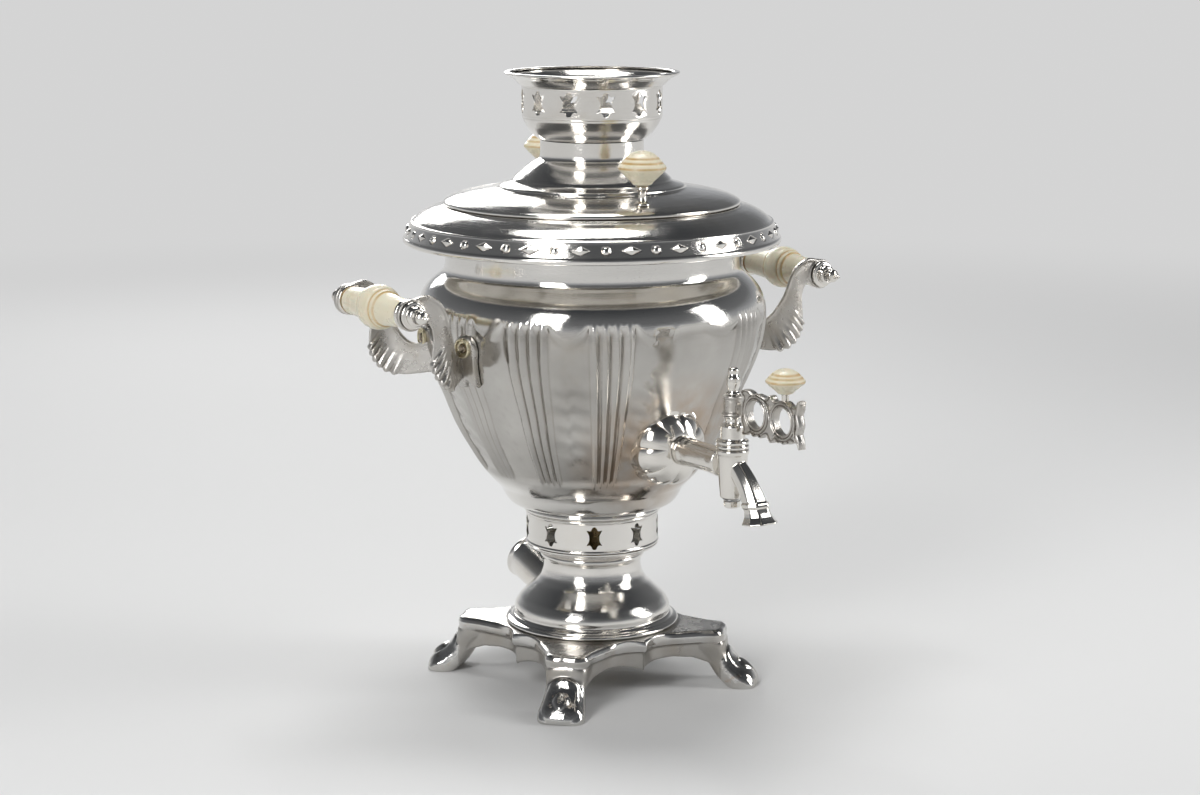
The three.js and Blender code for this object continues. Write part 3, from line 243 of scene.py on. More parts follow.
def skin_faces(rows, columns, closed_rows=False, closed_columns=True):
    """Faces between rows of points."""
    faces = []
    for i in range(rows if closed_rows else rows - 1):
        for k in range(columns if closed_columns else columns - 1):
            here, there, on = i * columns, (i + 1) % rows * columns, (k + 1) % columns
            faces.append((here + k, here + on, there + on, there + k))
    return faces


def loft(name, rings, crease=38):
    """A closed piece through rings of equal count, its ends filled."""
    points = sum(rings, [])
    count, total = len(rings[0]), len(points)
    ends = [tuple(range(count)), tuple(range(total - count, total))]
    return new_piece(name, points, skin_faces(len(rings), count) + ends, crease)


def apply_modifiers(piece):
    """The mesh becomes what its modifiers make of it."""
    graph = bpy.context.evaluated_depsgraph_get()
    made = bpy.data.meshes.new_from_object(piece.evaluated_get(graph))
    piece.modifiers.clear()
    piece.data = made


def cast(name, parts, grain, passes):
    """Melts the parts into one casting with a skin of this grain and soft corners."""
    work = bmesh.new()
    for part in parts:
        work.from_mesh(part.data)
        bpy.data.objects.remove(part)
    mesh = bpy.data.meshes.new(name)
    work.to_mesh(mesh)
    work.free()
    piece = added(name, mesh)
    skin = piece.modifiers.new("skin", "REMESH")
    skin.mode = "VOXEL"
    skin.voxel_size = grain * mm
    soften = piece.modifiers.new("soften", "SMOOTH")
    soften.factor = 0.5
    soften.iterations = passes
    apply_modifiers(piece)
    shaded(piece.data, 60)
    return piece


def plate_outline(count):
    """Even steps round the plate's edge: point, outward direction, place along its side."""
    half = spline(half_side, 6)
    side = [(-x, n) for x, n in reversed(half)] + half[1:]
    ring = []
    for quarter in range(4):
        c, s = math.cos(quarter * math.pi / 2), math.sin(quarter * math.pi / 2)
        ring += [(x * c + n * s, -n * c + x * s, abs(x)) for x, n in side[:-1]]
    length = [0]
    for a, b in zip(ring, ring[1:] + ring[:1]):
        length.append(length[-1] + math.hypot(b[0] - a[0], b[1] - a[1]))
    even, at = [], 0
    for k in range(count):
        goal = length[-1] * k / count
        while length[at + 1] < goal:
            at += 1
        t = (goal - length[at]) / (length[at + 1] - length[at])
        even.append([p + (q - p) * t for p, q in zip(ring[at], ring[(at + 1) % len(ring)])])
    outline = []
    for k, (x, y, along_side) in enumerate(even):
        before, after = even[k - 2], even[(k + 2) % count]
        way = Vector((after[0] - before[0], after[1] - before[1])).normalized()
        outline.append((Vector((x, y)), Vector((way.y, -way.x)), along_side))
    return outline


def base_plate():
    """Seat, slope, rolled edge, apron and hollow as one closed skin."""
    rings = []
    for point, out, along_side in plate_outline(plate_steps):
        low = read_off(apron_edge, along_side)
        sunk = apron_sunk * (1 - ease(44, 53, along_side))
        angle = math.atan2(point.y, point.x)
        seat = Vector((math.cos(angle), math.sin(angle)))
        slope = min(plate_wall, max((point - seat * seat_radius).length, 0.1) * 0.6)
        inner = plate_wall + 2
        ring = [(seat * r, base_top - drop) for r, drop in seat_side]
        ring += [(point - out * inset, height) for inset, height in (
            (slope * 1.5, base_top - 0.6), (slope * 0.85, base_top - 0.7), (slope * 0.3, base_top - 1.7),
            (0, base_top - 3.9), (0.2, base_top - 6.3), (0.3 + sunk * 0.45, base_top - 8.3), (0.4 + sunk, base_top - 9),
            (0.4 + sunk, low + 0.8), (0.8 + sunk, low), (inner - 0.6, low), (inner, low + 0.8), (inner, base_top - 7),
        )]
        ring += [(seat * 40, base_top - plate_wall - 1), (seat * hole_radius, base_top - plate_wall)]
        rings.append([(p.x, p.y, height) for p, height in ring])
    return new_piece("base_plate", sum(rings, []), skin_faces(len(rings), len(rings[0]), closed_rows=True))


def leg_form(stations, quarter, fullness):
    """A leg, paw or shield lofted through its stations at its corner of the base."""
    rings = []
    corner = Matrix.Rotation(math.radians(45 + 90 * quarter), 3, "Z")
    for out, high, back, low, half in spline(stations, 5):
        top, deep = Vector((0, -out, high)), Vector((0, -back, low))
        ring = []
        for k in range(leg_steps):
            turn = 2 * math.pi * k / leg_steps
            c, s = math.cos(turn), math.sin(turn)
            rise = (top - deep) / 2 * math.copysign(abs(s) ** fullness, s)
            across = Vector((math.copysign(abs(c) ** fullness, c) * half, 0, 0))
            ring.append(corner @ ((top + deep) / 2 + rise + across))
        rings.append(ring)
    return loft("leg_form", rings)


base_parts = [base_plate()]
for quarter in range(4):
    for stations, fullness in ((leg_stations, 0.62), (paw_stations, 0.8), (toe_shield, 0.9)):
        base_parts.append(leg_form(stations, quarter, fullness))
base_casting = cast("base_casting", base_parts, 0.5, 3)
for vertex in base_casting.data.vertices:
    vertex.co.z = max(vertex.co.z, 0)


class Finish:
    """A procedural finish: each step adds nodes, and done() joins them to the shader."""

    def __init__(self, name, colour, metal, rough):
        self.material = bpy.data.materials.new(name)
        self.material.use_nodes = True
        self.tree = self.material.node_tree
        self.shader = next(n for n in self.tree.nodes if n.type == "BSDF_PRINCIPLED").inputs
        self.colour = (*colour, 1)
        for key, value in (("Metallic", metal), ("Roughness", rough), ("Base Color", self.colour)):
            self.shader[key].default_value = value
        self.place = self.add("ShaderNodeTexCoord").outputs["Object"]
        self.bump = None

    def add(self, kind, *feeds, **settings):
        return wired(self.tree, kind, *feeds, **settings)

    def maths(self, operation, *feeds):
        return self.add("ShaderNodeMath", *feeds, operation=operation).outputs[0]

    def times(self, a, b):
        return self.maths("MULTIPLY", a, b)

    def along(self, axis):
        """The object's coordinate along this axis."""
        return self.add("ShaderNodeSeparateXYZ", self.place).outputs[axis]

    def cloud(self, scale, detail=4, rough=0.55, stretch=None):
        """Soft noise with this many patches to the metre, drawn out where it is stretched."""
        where = self.add("ShaderNodeMapping", self.place, None, None, stretch).outputs[0] if stretch else self.place
        return self.add("ShaderNodeTexNoise", where, None, scale, detail, rough).outputs[0]

    def ramp(self, value, low, high, start=0.0, end=1.0):
        """The value, stretched so that low becomes start and high becomes end."""
        return self.add("ShaderNodeMapRange", value, low, high, start, end, clamp=True).outputs[0]

    def hollow(self, high, low, share):
        """Up to this share where the surface is hollow: the mask for painted shade in recesses, and for tarnish in the
        polished nickel.
        """
        return self.times(self.ramp(self.add("ShaderNodeNewGeometry").outputs["Pointiness"], high, low), share)

    def stain(self, colour, mask):
        """Another colour where the mask is 1."""
        unused = [None] * 5
        self.colour = self.add("ShaderNodeMix", mask, *unused, self.colour, (*colour, 1), data_type="RGBA").outputs[2]

    def relief(self, height, depth):
        """Raises the surface by this depth in metres where the height is 1."""
        node = self.add("ShaderNodeBump")
        node.inputs["Distance"].default_value = depth
        self.tree.links.new(height, node.inputs["Height"])
        if self.bump:
            self.tree.links.new(self.bump, node.inputs["Normal"])
        self.bump = node.outputs[0]

    def lines(self, value, places, width):
        """1 on thin lines where the value meets one of these places, 0 elsewhere."""
        total = 0
        for at in places:
            off = self.maths("ABSOLUTE", self.maths("SUBTRACT", value, at))
            total = self.maths("MAXIMUM", total, self.ramp(off, width, width * 0.35))
        return total

    def done(self, rough):
        for key, made in (("Base Color", self.colour), ("Roughness", rough), ("Normal", self.bump)):
            self.tree.links.new(made, self.shader[key])
        return self.material


def base_nickel():
    """Plating: paws and rolled edge polished bright, ankles and apron left satin, with painted shade in the recesses.
    """
    finish = Finish("base_nickel", (0.66, 0.65, 0.63), 1, 0.2)
    height = finish.along("Z")
    depth = finish.maths("SUBTRACT", finish.along("Y"), middle_y)
    sides = [finish.maths("ABSOLUTE", way) for way in (finish.along("X"), depth)]
    off = finish.maths("SUBTRACT", *sides)
    arc = finish.maths("ADD", height, finish.times(finish.times(off, off), 20))
    level = finish.add("ShaderNodeMapping", finish.place, (0, -middle_y, 0), None, (1, 1, 0)).outputs[0]
    reach = finish.add("ShaderNodeVectorMath", level, operation="LENGTH").outputs["Value"]
    paw = finish.times(finish.ramp(reach, 0.085, 0.0865), finish.ramp(arc, 0.0242, 0.0232))
    roll = finish.times(finish.ramp(height, 0.0285, 0.0297), finish.ramp(height, 0.0371, 0.0362))
    polished = finish.maths("MAXIMUM", paw, roll)
    finish.stain((0.44, 0.425, 0.4), finish.ramp(polished, 0.9, 0.1))
    finish.stain((0.36, 0.31, 0.25), finish.times(finish.ramp(finish.cloud(34, 5), 0.46, 0.7), 0.5))
    worn = finish.times(finish.ramp(finish.cloud(48, 7, 0.7), 0.6, 0.68), polished)
    finish.stain((0.5, 0.29, 0.15), finish.times(worn, 0.7))
    # Painted shade: near-black colour laid into the casting's recesses and between its parts, where shade falls.
    finish.stain((0.1, 0.08, 0.06), finish.hollow(0.49, 0.44, 0.8))
    finish.relief(finish.times(finish.cloud(150, 2), paw), 0.0005)
    finish.relief(finish.times(finish.cloud(300, 2), roll), 0.0001)
    finish.relief(finish.cloud(1400, 2), 0.00003)
    rough = finish.ramp(polished, 0, 1, 0.24, 0.05)
    return finish.done(finish.maths("ADD", rough, finish.ramp(finish.cloud(90, 6), 0.3, 0.75, 0.02, 0.14)))


def place(piece, body, finish, node):
    """The piece gets its finish, moves with its body and stands for its node."""
    piece.data.materials.append(finish)
    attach(piece, body)
    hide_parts(node)


place(base_casting, "vessel", base_nickel(), "base")

# Pedestal
# The pedestal is one spinning in brass: a flange, a bell and a waist, nickel plated and polished.
# Its flange stands on the seat of the base, and its upper lip holds the pierced band.
sheet = 1.1
pedestal_side = [
    (53.6, 37.7), (54.6, 38.2), (54.9, 39.2), (54, 40.4), (51.5, 41), (50.2, 42.6), (49, 43.2), (49, 44.6),
    (49.4, 46.5), (48.8, 49.5), (45.6, 54), (40.5, 58.8), (35.6, 63.2), (32.2, 68), (30.9, 73), (30.8, 78.5),
    (32.6, 80.2), (33, 81.6), (32.2, 83), (35, 84.4), (37.5, 85.6), (40.6, 87), (41.7, 88), (41.7, 88.9),
]
inlet_tilt = math.radians(18)
inlet_reach = 78
inlet_height = 62
inlet_bore = 10.5


def soft(profile, radius, closed=False):
    """The profile with its corners rounded off."""
    made = []
    last = len(profile) - 1
    for i, corner in enumerate(profile):
        if not closed and i in (0, last):
            made.append(tuple(corner))
            continue
        here = Vector(corner)
        ways = [Vector(profile[i - 1]) - here, Vector(profile[i + 1 if i < last else 0]) - here]
        start, end = [here + way.normalized() * min(radius, way.length * 0.48) for way in ways]
        for t in (0, 0.25, 0.5, 0.75, 1):
            made.append(tuple(start * (1 - t) ** 2 + here * 2 * t * (1 - t) + end * t * t))
    return made


def inside(profile, distance):
    """The same profile further in: to its left when it is followed upwards."""
    made = []
    points = [Vector(p) for p in profile]
    for before, here, after in zip(points[:1] + points, points, points[1:] + points[-1:]):
        way = ((here - before).normalized() + (after - here).normalized()).normalized()
        made.append((here.x - way.y * distance, here.y + way.x * distance))
    return made


def round_axis(angle, r, z):
    """The point at this radius and height, this far round from the tap."""
    return r * math.sin(angle), -r * math.cos(angle), z


def turned(name, profile, steps=144, crease=30, relief=None):
    """A closed profile of (radius, height) turned round the axis."""
    points = []
    for k in range(steps):
        angle = 2 * math.pi * k / steps
        points += [round_axis(angle, r + (relief(angle, r) if relief else 0), z) for r, z in profile]
    return new_piece(name, points, skin_faces(steps, len(profile), closed_rows=True), crease)


def thin(profile, thickness=sheet):
    """The closed profile of sheet metal whose outside is this one."""
    return profile + inside(profile, thickness)[::-1]


def cut_away(piece, tool):
    """Cuts the tool out of the piece."""
    cutting = piece.modifiers.new("cut", "BOOLEAN")
    cutting.operation = "DIFFERENCE"
    cutting.object = tool
    cutting.solver = "EXACT"
    apply_modifiers(piece)
    bpy.data.objects.remove(tool)


def lay_along(piece, foot, way):
    """Tips an upright turned piece to point this way from this foot."""
    turn = Vector((0, 0, 1)).rotation_difference(Vector(way).normalized()).to_matrix().to_4x4()
    piece.data.transform(Matrix.Translation(middle + Vector(foot) * mm) @ turn @ Matrix.Translation(-middle))
    return piece


def polished_nickel(name, colour, tarnish, run=None):
    """Thin bright plating with fine scratches and pits, yellow-brown where it is worn."""
    finish = Finish(name, colour, 1, 0.12)
    finish.stain((0.52, 0.43, 0.3), finish.times(finish.ramp(finish.cloud(16, 6, 0.62), 0.5, 0.78), tarnish))
    finish.stain((0.3, 0.22, 0.13), finish.hollow(0.495, 0.44, 0.5))
    finish.stain((0.34, 0.31, 0.27), finish.times(finish.ramp(finish.cloud(1500, 2, 0.5), 0.7, 0.78), 0.7))
    finish.relief(finish.cloud(220, 5, 0.7, run), 0.00004)
    finish.relief(finish.cloud(60, 2, 0.4), 0.00018)
    return finish.done(finish.ramp(finish.cloud(22, 8, 0.66), 0.36, 0.74, 0.07, 0.22))


turned_nickel = polished_nickel("polished_nickel", (0.8, 0.78, 0.745), 0.3, (1, 1, 14))
pedestal = turned("pedestal_spinning", thin(soft(pedestal_side, 1.6)))
inlet_way = (0, math.cos(inlet_tilt), math.sin(inlet_tilt))
inlet_root = inlet_height - inlet_reach * math.tan(inlet_tilt)
drill = turned("inlet_drill", [(0, 10), (inlet_bore, 10), (inlet_bore, 70), (0, 70)], 48)
cut_away(pedestal, lay_along(drill, (0, 0, inlet_root), inlet_way))
place(pedestal, "vessel", turned_nickel, "pedestal")

# Pierced band
# The band is a ring of sheet between the pedestal and the body, pierced with nine openings in the
# shape of a stretched hide that let the air in. A bead is rolled along both of its edges.
hide_shares = [
    (0, 1), (0.18, 0.96), (0.33, 0.84), (0.4, 0.7), (0.56, 0.63), (0.8, 0.68), (1, 0.7), (0.92, 0.54), (0.78, 0.4),
    (0.68, 0.24), (0.65, 0.06), (0.65, -0.1), (0.7, -0.28), (0.82, -0.44), (0.96, -0.56), (1, -0.64),
    (0.82, -0.62), (0.58, -0.6), (0.41, -0.69), (0.34, -0.84), (0.2, -0.96), (0, -1),
]
hide_count = 9
hide_turn = 8
hide_size = (9.6, 14.6)
band_bead = [(-0.4, 0), (0.5, 0.5), (0.7, 1.3), (0.2, 2), (0, 2.3)]


def with_corners(outline, half_width, half_height):
    """The outline with a point towards each corner of the frame."""
    made = []
    for a, b in zip(outline, outline[1:] + outline[:1]):
        made.append(a)
        for right, up in ((1, 1), (1, -1), (-1, -1), (-1, 1)):
            x, y = right * half_width, up * half_height
            side_a, side_b = a[0] * y - a[1] * x, b[0] * y - b[1] * x
            if side_a * side_b < 0 < a[0] * x + a[1] * y:
                t = side_a / (side_a - side_b)
                made.append((a[0] + (b[0] - a[0]) * t, a[1] + (b[1] - a[1]) * t))
    return made


def pierced_sheet(name, outer, zone, count, turn, size, thickness):
    """A turned sheet with this many openings in its straight stretch number zone."""
    inner = inside(outer, thickness)
    (r0, z0), (r1, z1) = outer[zone], outer[zone + 1]
    half_turn = math.pi / count
    half_width, half_height = half_turn * r0, (z1 - z0) / 2
    right = [(u * size[0] / 2, v * size[1] / 2) for u, v in hide_shares]
    hole = with_corners(right + [(-x, y) for x, y in reversed(right[1:-1])], half_width, half_height)
    frame_edge = []
    for x, y in hole:
        scale = min(half_width / max(abs(x), 1e-9), half_height / max(abs(y), 1e-9))
        frame_edge.append((x * scale, y * scale))
    grid, faces, known = [], [], {}

    def corner(u, v):
        """The number of the point at u round and v up, shared by neighbours."""
        u %= 2 * math.pi
        key = (round(u, 5) % round(2 * math.pi, 5), round(v, 5))
        if key not in known:
            known[key] = len(grid)
            grid.append((u, v))
        return known[key]

    for i in range(count):
        at = math.radians(turn) + 2 * half_turn * i
        rings = []
        for t in (0, 0.12, 0.4, 0.7, 1):
            ring = [(h[0] + (f[0] - h[0]) * t, h[1] + (f[1] - h[1]) * t) for h, f in zip(hole, frame_edge)]
            rings.append([corner(at + x / r0, zone + 0.5 + y / (2 * half_height)) for x, y in ring])
        for a, b in zip(rings, rings[1:]):
            faces += [(a[k - 1], a[k], b[k], b[k - 1]) for k in range(1, len(a))] + [(a[-1], a[0], b[0], b[-1])]
    for level, way, rows in ((zone, -1, range(zone, 0, -1)), (zone + 1, 1, range(zone + 1, len(outer) - 1))):
        around = sorted(grid[n][0] for n in set(sum(faces, ())) if abs(grid[n][1] - level) < 1e-4)
        for row in rows:
            for a, b in zip(around, around[1:] + around[:1]):
                faces.append((corner(a, row), corner(b, row), corner(b, row + way), corner(a, row + way)))
    points = []
    for side in (outer, inner):
        for u, v in grid:
            i = min(int(v + 1e-6), len(side) - 2)
            points.append(round_axis(u, *[p + (q - p) * (v - i) for p, q in zip(side[i], side[i + 1])]))
    edges = {}
    for face in faces:
        for edge in zip(face, face[1:] + face[:1]):
            edges[frozenset(edge)] = edges.get(frozenset(edge), 0) + 1
    walls = [tuple(edge) for edge, uses in edges.items() if uses == 1 and len(edge) == 2]
    far = len(grid)
    faces += [tuple(n + far for n in face) for face in faces]
    return new_piece(name, points, faces + [(a, b, b + far, a + far) for a, b in walls], 32)


band_foot, band_top = [end.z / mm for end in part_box("pierced_band")]
band_radius = 41.7
bead_low = soft([(band_radius + r, band_foot + z) for r, z in band_bead], 0.5)
bead_high = soft([(band_radius + r, band_top - z) for r, z in reversed(band_bead)], 0.5)
pierced_band = pierced_sheet(
    "pierced_band_sheet", bead_low + bead_high, len(bead_low) - 1, hide_count, hide_turn, hide_size, sheet
)
place(pierced_band, "vessel", turned_nickel, "pierced_band")

# Body
# The body is the tank: brass sheet spun to its bowl, with flutes pressed in, plated inside and out.
# Twelve groups of four reeds stand between polished panels, and a wide plain panel carries the tap.
body_side = [
    (42.9, 110.9), (43.9, 111.3), (44.3, 112.2), (43.7, 113.3), (43.6, 113.8), (44.4, 114.4), (46.5, 114.7),
    (50, 115.6), (52.6, 117.3), (54.4, 119.7), (56, 122.6), (57.3, 125.6), (58.6, 127.4), (60.4, 129), (64.2, 132.9),
    (68, 137.5), (72.7, 144.1), (76.8, 151), (81.9, 159.5), (86.5, 168.3), (90.3, 177.5), (93.7, 186.6),
    (97.2, 194.2), (100.3, 201.5), (102.8, 207.6), (104.8, 213.4), (106.6, 219.6), (107.8, 226), (108.4, 232),
    (108.5, 238), (107.9, 243), (106.3, 248), (103.6, 252.6), (100.2, 256.4), (96, 259.7), (92.8, 262.3), (91.6, 265),
    (91.3, 268.5), (91.3, 299.9),
]
divisions = 13
division = 2 * math.pi / divisions
flute_foot = 137
flute_head = 244
tap_panel_head = 239
panel_head = 232
groove_depth = 2
reed_pitch = math.radians(3.75)
group_half = 2
group_steps = 56
panel_steps = 14
ripple_height = 0.3
ripple_pitch = 11.5


def flutes(angle, z):
    """How far the surface stands out: round reeds, and sunk panels between their groups."""
    if not flute_foot - 2 < z < flute_head + 4:
        return 0
    number = round(angle / division)
    across = (angle - number * division) / (reed_pitch * (0.84 + 0.16 * ease(flute_foot, flute_head, z)))
    reed = abs(math.sin(across * math.pi)) ** 1.5
    by_tap = number % divisions == 0
    if abs(across) < group_half and not by_tap:
        toe = flute_foot + 1.2 * (1 - reed)
        head = flute_head - 1.5 + 3 * reed
        return -groove_depth * (1 - reed) * ease(toe - 1, toe + 5, z) * (1 - ease(head - 5, head + 1, z))
    ripple = 0
    if by_tap or abs(abs(angle) - division) < division / 2 and abs(angle) < division:
        share = 1 - min(abs(abs(angle) - division * 0.48) / (division * 0.3), 1)
        head = tap_panel_head - 5 * math.sin(share * math.pi / 2)
    else:
        share = 1 - min((abs(across) - group_half) / (division / reed_pitch / 2 - group_half), 1)
        head = panel_head + 10 * share ** 2
        ripple = ripple_height * math.sin((z + 2 * across) * 2 * math.pi / ripple_pitch) * (1 - share) ** 0.5
    toe = flute_foot + 1.2
    fade = ease(toe - 1, toe + 5, z) * (1 - ease(head - 3, head + 3, z))
    return (ripple * ease(145, 160, z) * (1 - ease(212, 226, z)) - groove_depth) * fade


def finer(profile, step, reach=0, level=0):
    """The profile in steps of at most this length, where it lies beyond reach and level."""
    made = []
    for (r0, z0), (r1, z1) in zip(profile, profile[1:]):
        pieces = 1
        if r0 > reach and z0 > level:
            pieces = max(1, math.ceil(math.hypot(r1 - r0, z1 - z0) / step))
        made += [(r0 + (r1 - r0) * k / pieces, z0 + (z1 - z0) * k / pieces) for k in range(pieces)]
    return made + [profile[-1]]


def body_bowl():
    """The fluted outside and the plain inside with its floor."""
    group = 2 * group_half * reed_pitch
    steps = [group * (k / group_steps - 0.5) for k in range(group_steps + 1)]
    steps += [group / 2 + (division - group) * k / panel_steps for k in range(1, panel_steps)]
    outer = finer(soft(body_side, 2.4), 1.3)
    inner = inside([p for p in body_side if p[1] > 115.3], sheet)[::-1] + [(42.6, 112.1), (6.3, 112.1), (6.3, 110.9)]
    inner = [(r - (groove_depth if flute_foot - 4 < z < flute_head + 5 else 0), z) for r, z in inner]
    points = []
    for number in range(divisions):
        for step in steps:
            angle = number * division + step
            points += [round_axis(angle, r + flutes(angle, z), z) for r, z in outer]
            points += [round_axis(angle, r, z) for r, z in inner]
    faces = skin_faces(divisions * len(steps), len(outer) + len(inner), closed_rows=True)
    return new_piece("body_bowl", points, faces, 40)


def bowl_nickel():
    """Mirror-bright on the shoulder and softly hazed over the flutes, with painted shade in the grooves."""
    finish = Finish("bowl_nickel", (0.78, 0.765, 0.735), 1, 0.14)
    height = finish.along("Z")
    veil = finish.times(finish.ramp(height, 0.131, 0.14), finish.ramp(height, 0.246, 0.236))
    finish.stain((0.4, 0.385, 0.36), finish.times(veil, finish.ramp(finish.cloud(14, 5, 0.55), 0.36, 0.7, 0.55, 1)))
    spout = (0, middle_y - 78 * mm, 158 * mm)
    away = finish.add("ShaderNodeVectorMath", finish.place, spout, operation="DISTANCE").outputs["Value"]
    drips = finish.times(finish.ramp(away, 0.062, 0.03), finish.ramp(finish.cloud(45, 5), 0.35, 0.6))
    finish.stain((0.4, 0.27, 0.16), finish.times(drips, 0.6))
    finish.stain((0.5, 0.38, 0.22), finish.ramp(finish.cloud(9, 5, 0.6), 0.6, 0.8, 0, 0.35))
    # Painted shade: dark colour laid into the flute grooves and other hollows of the bowl.
    finish.stain((0.2, 0.17, 0.14), finish.hollow(0.497, 0.45, 0.55))
    finish.stain((0.3, 0.27, 0.24), finish.times(finish.ramp(finish.cloud(1300, 2, 0.5), 0.68, 0.76), 0.7))
    finish.relief(finish.cloud(240, 5, 0.7, (1, 1, 5)), 0.00004)
    finish.relief(finish.cloud(38, 2, 0.4), 0.0003)
    haze = finish.times(veil, finish.ramp(finish.cloud(30, 4, 0.6), 0.3, 0.7, 0.07, 0.14))
    return finish.done(finish.maths("ADD", haze, finish.ramp(finish.cloud(55, 5, 0.6), 0.35, 0.75, 0.05, 0.13)))


place(body_bowl(), "vessel", bowl_nickel(), "body")

# Tie, heating element and leads
# A brass tube with a nut at each end clamps body, band, pedestal and base together.
# A steel-sheathed element loops low in the tank; its two legs leave through the floor to the inlet.


def brushed(name, colour, rough, metal=1, grain=260, dark=(0.2, 0.15, 0.1)):
    """A plain worked metal or plastic with patches and a fine grain."""
    finish = Finish(name, colour, metal, rough)
    finish.stain(dark, finish.ramp(finish.cloud(60, 5, 0.6), 0.52, 0.8, 0, 0.35))
    finish.relief(finish.cloud(grain, 4, 0.6), 0.00006)
    return finish.done(finish.ramp(finish.cloud(120, 6, 0.65), 0.3, 0.75, rough * 0.7, rough * 1.4))


def dress(finish, *nodes):
    """Pieces of the frame that show as they are get their finish."""
    for node in nodes:
        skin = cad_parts[node].data.materials
        skin.clear()
        skin.append(finish)


worn_brass = brushed("worn_brass", (0.66, 0.5, 0.26), 0.26)
plain_steel = brushed("plain_steel", (0.5, 0.5, 0.5), 0.3)
black_rubber = brushed("black_rubber", (0.035, 0.034, 0.033), 0.7, 0, 300, (0.08, 0.075, 0.07))
brown_bakelite = brushed("brown_bakelite", (0.07, 0.035, 0.02), 0.35, 0, 300, (0.02, 0.012, 0.01))
dress(worn_brass, "tie_tube", "tie_washer", "tie_nut", "heater_nut_front", "heater_nut_rear")
dress(black_rubber, "tie_gasket", "heater_gasket", "left_lead_wire", "right_lead_wire")
dress(plain_steel, "heating_element")

# Inlet
# The lead plugs into a round nickel-plated shroud that leans out of the back of the pedestal.
# A bakelite insulator in it carries the two brass contact pins.
shroud_length = inlet_reach / math.cos(inlet_tilt)


def in_shroud(name, side, rounding, steps=72, sheet_of=None):
    """A turned piece in the shroud, its profile (radius, depth below the mouth)."""
    profile = soft([(r, shroud_length - depth) for r, depth in side], rounding)
    if sheet_of:
        profile = thin(profile, sheet_of)
    return lay_along(turned(name, profile, steps), (0, 0, inlet_root), inlet_way)


shroud_side = [
    (11.4, shroud_length - 34), (11.6, 40), (13.6, 36), (14, 33), (14, 4), (14.5, 3.2), (15.2, 1.8), (15, 0.5), (14, 0),
]
insulator_side = [(0, 30), (12.4, 30), (12.4, 22), (10.8, 21.2), (10.2, 22.6), (0, 22.6)]
pin_side = [(0, 43), (2.4, 43), (2.4, 6.4), (1.6, 5), (0, 4.9)]
inlet_shroud = in_shroud("inlet_shroud", shroud_side, 1.4, sheet_of=1.2)
place(inlet_shroud, "vessel", turned_nickel, "socket_shroud")
place(in_shroud("inlet_insulator", insulator_side, 0.4), "vessel", brown_bakelite, "socket_insulator")
for side, node in ((-1, "left_contact_pin"), (1, "right_contact_pin")):
    pin = in_shroud(node + "_brass", pin_side, 0.8, 32)
    pin.data.transform(Matrix.Translation((side * 6.5 * mm, 0, 0)))
    place(pin, "vessel", worn_brass, node)

# Handles
# Each handle is two cast brackets, bent in towards the bowl and screwed to it, plated and left a little dull.
# An ivory-coloured plastic grip and two ferrules sit between them on a steel rod with an acorn nut at each end.
grip_reach = 151.4
grip_height = 251.5
plate_middle = 37.5
screw_level = 226
screw_ahead = 23
# From the bracket's plain inner rim to its scalloped outer edge, as (reach, drop) along the sheet
bracket_ribs = [
    ((1, -9.2), (1, 8)), ((6, -10.6), (5, 6.4)), ((11, -10.8), (8.6, 5)), ((15.6, -9), (11.6, 6.2)),
    ((20.4, -5.4), (13.8, 9.8)), ((23.6, 0.2), (14.6, 14.6)), ((25.2, 5), (14.2, 19.6)), ((26.6, 9), (13.6, 24.2)),
    ((28.2, 13), (13.6, 29)), ((30.4, 16.8), (14.8, 34)), ((32.6, 20.4), (17.4, 39)), ((35.2, 23.8), (21.6, 43.6)),
    ((38.8, 27), (27.4, 46.8)), ((43.4, 28.4), (35, 48.2)), ((48.6, 27.4), (43.6, 47.4)), ((56, 25), (56, 45.6)),
]
rib_first = 7.9
rib_last = 12.7
rib_count = 6
rim_steps = 10
sheet_steps = 22
bend_start = 18
bend_radius = 16
bend_turn = math.radians(45)


def along_sheet(u):
    """Where the sheet is this far from the grip, and which way its outer face looks."""
    turn = min(max(u - bend_start, 0) / bend_radius, bend_turn)
    on = max(u - bend_start, 0) - turn * bend_radius
    x = grip_reach - min(u, bend_start) - bend_radius * math.sin(turn) - on * math.cos(turn)
    y = -plate_middle + bend_radius * (1 - math.cos(turn)) + on * math.sin(turn)
    return x, y, -math.sin(turn), -math.cos(turn)


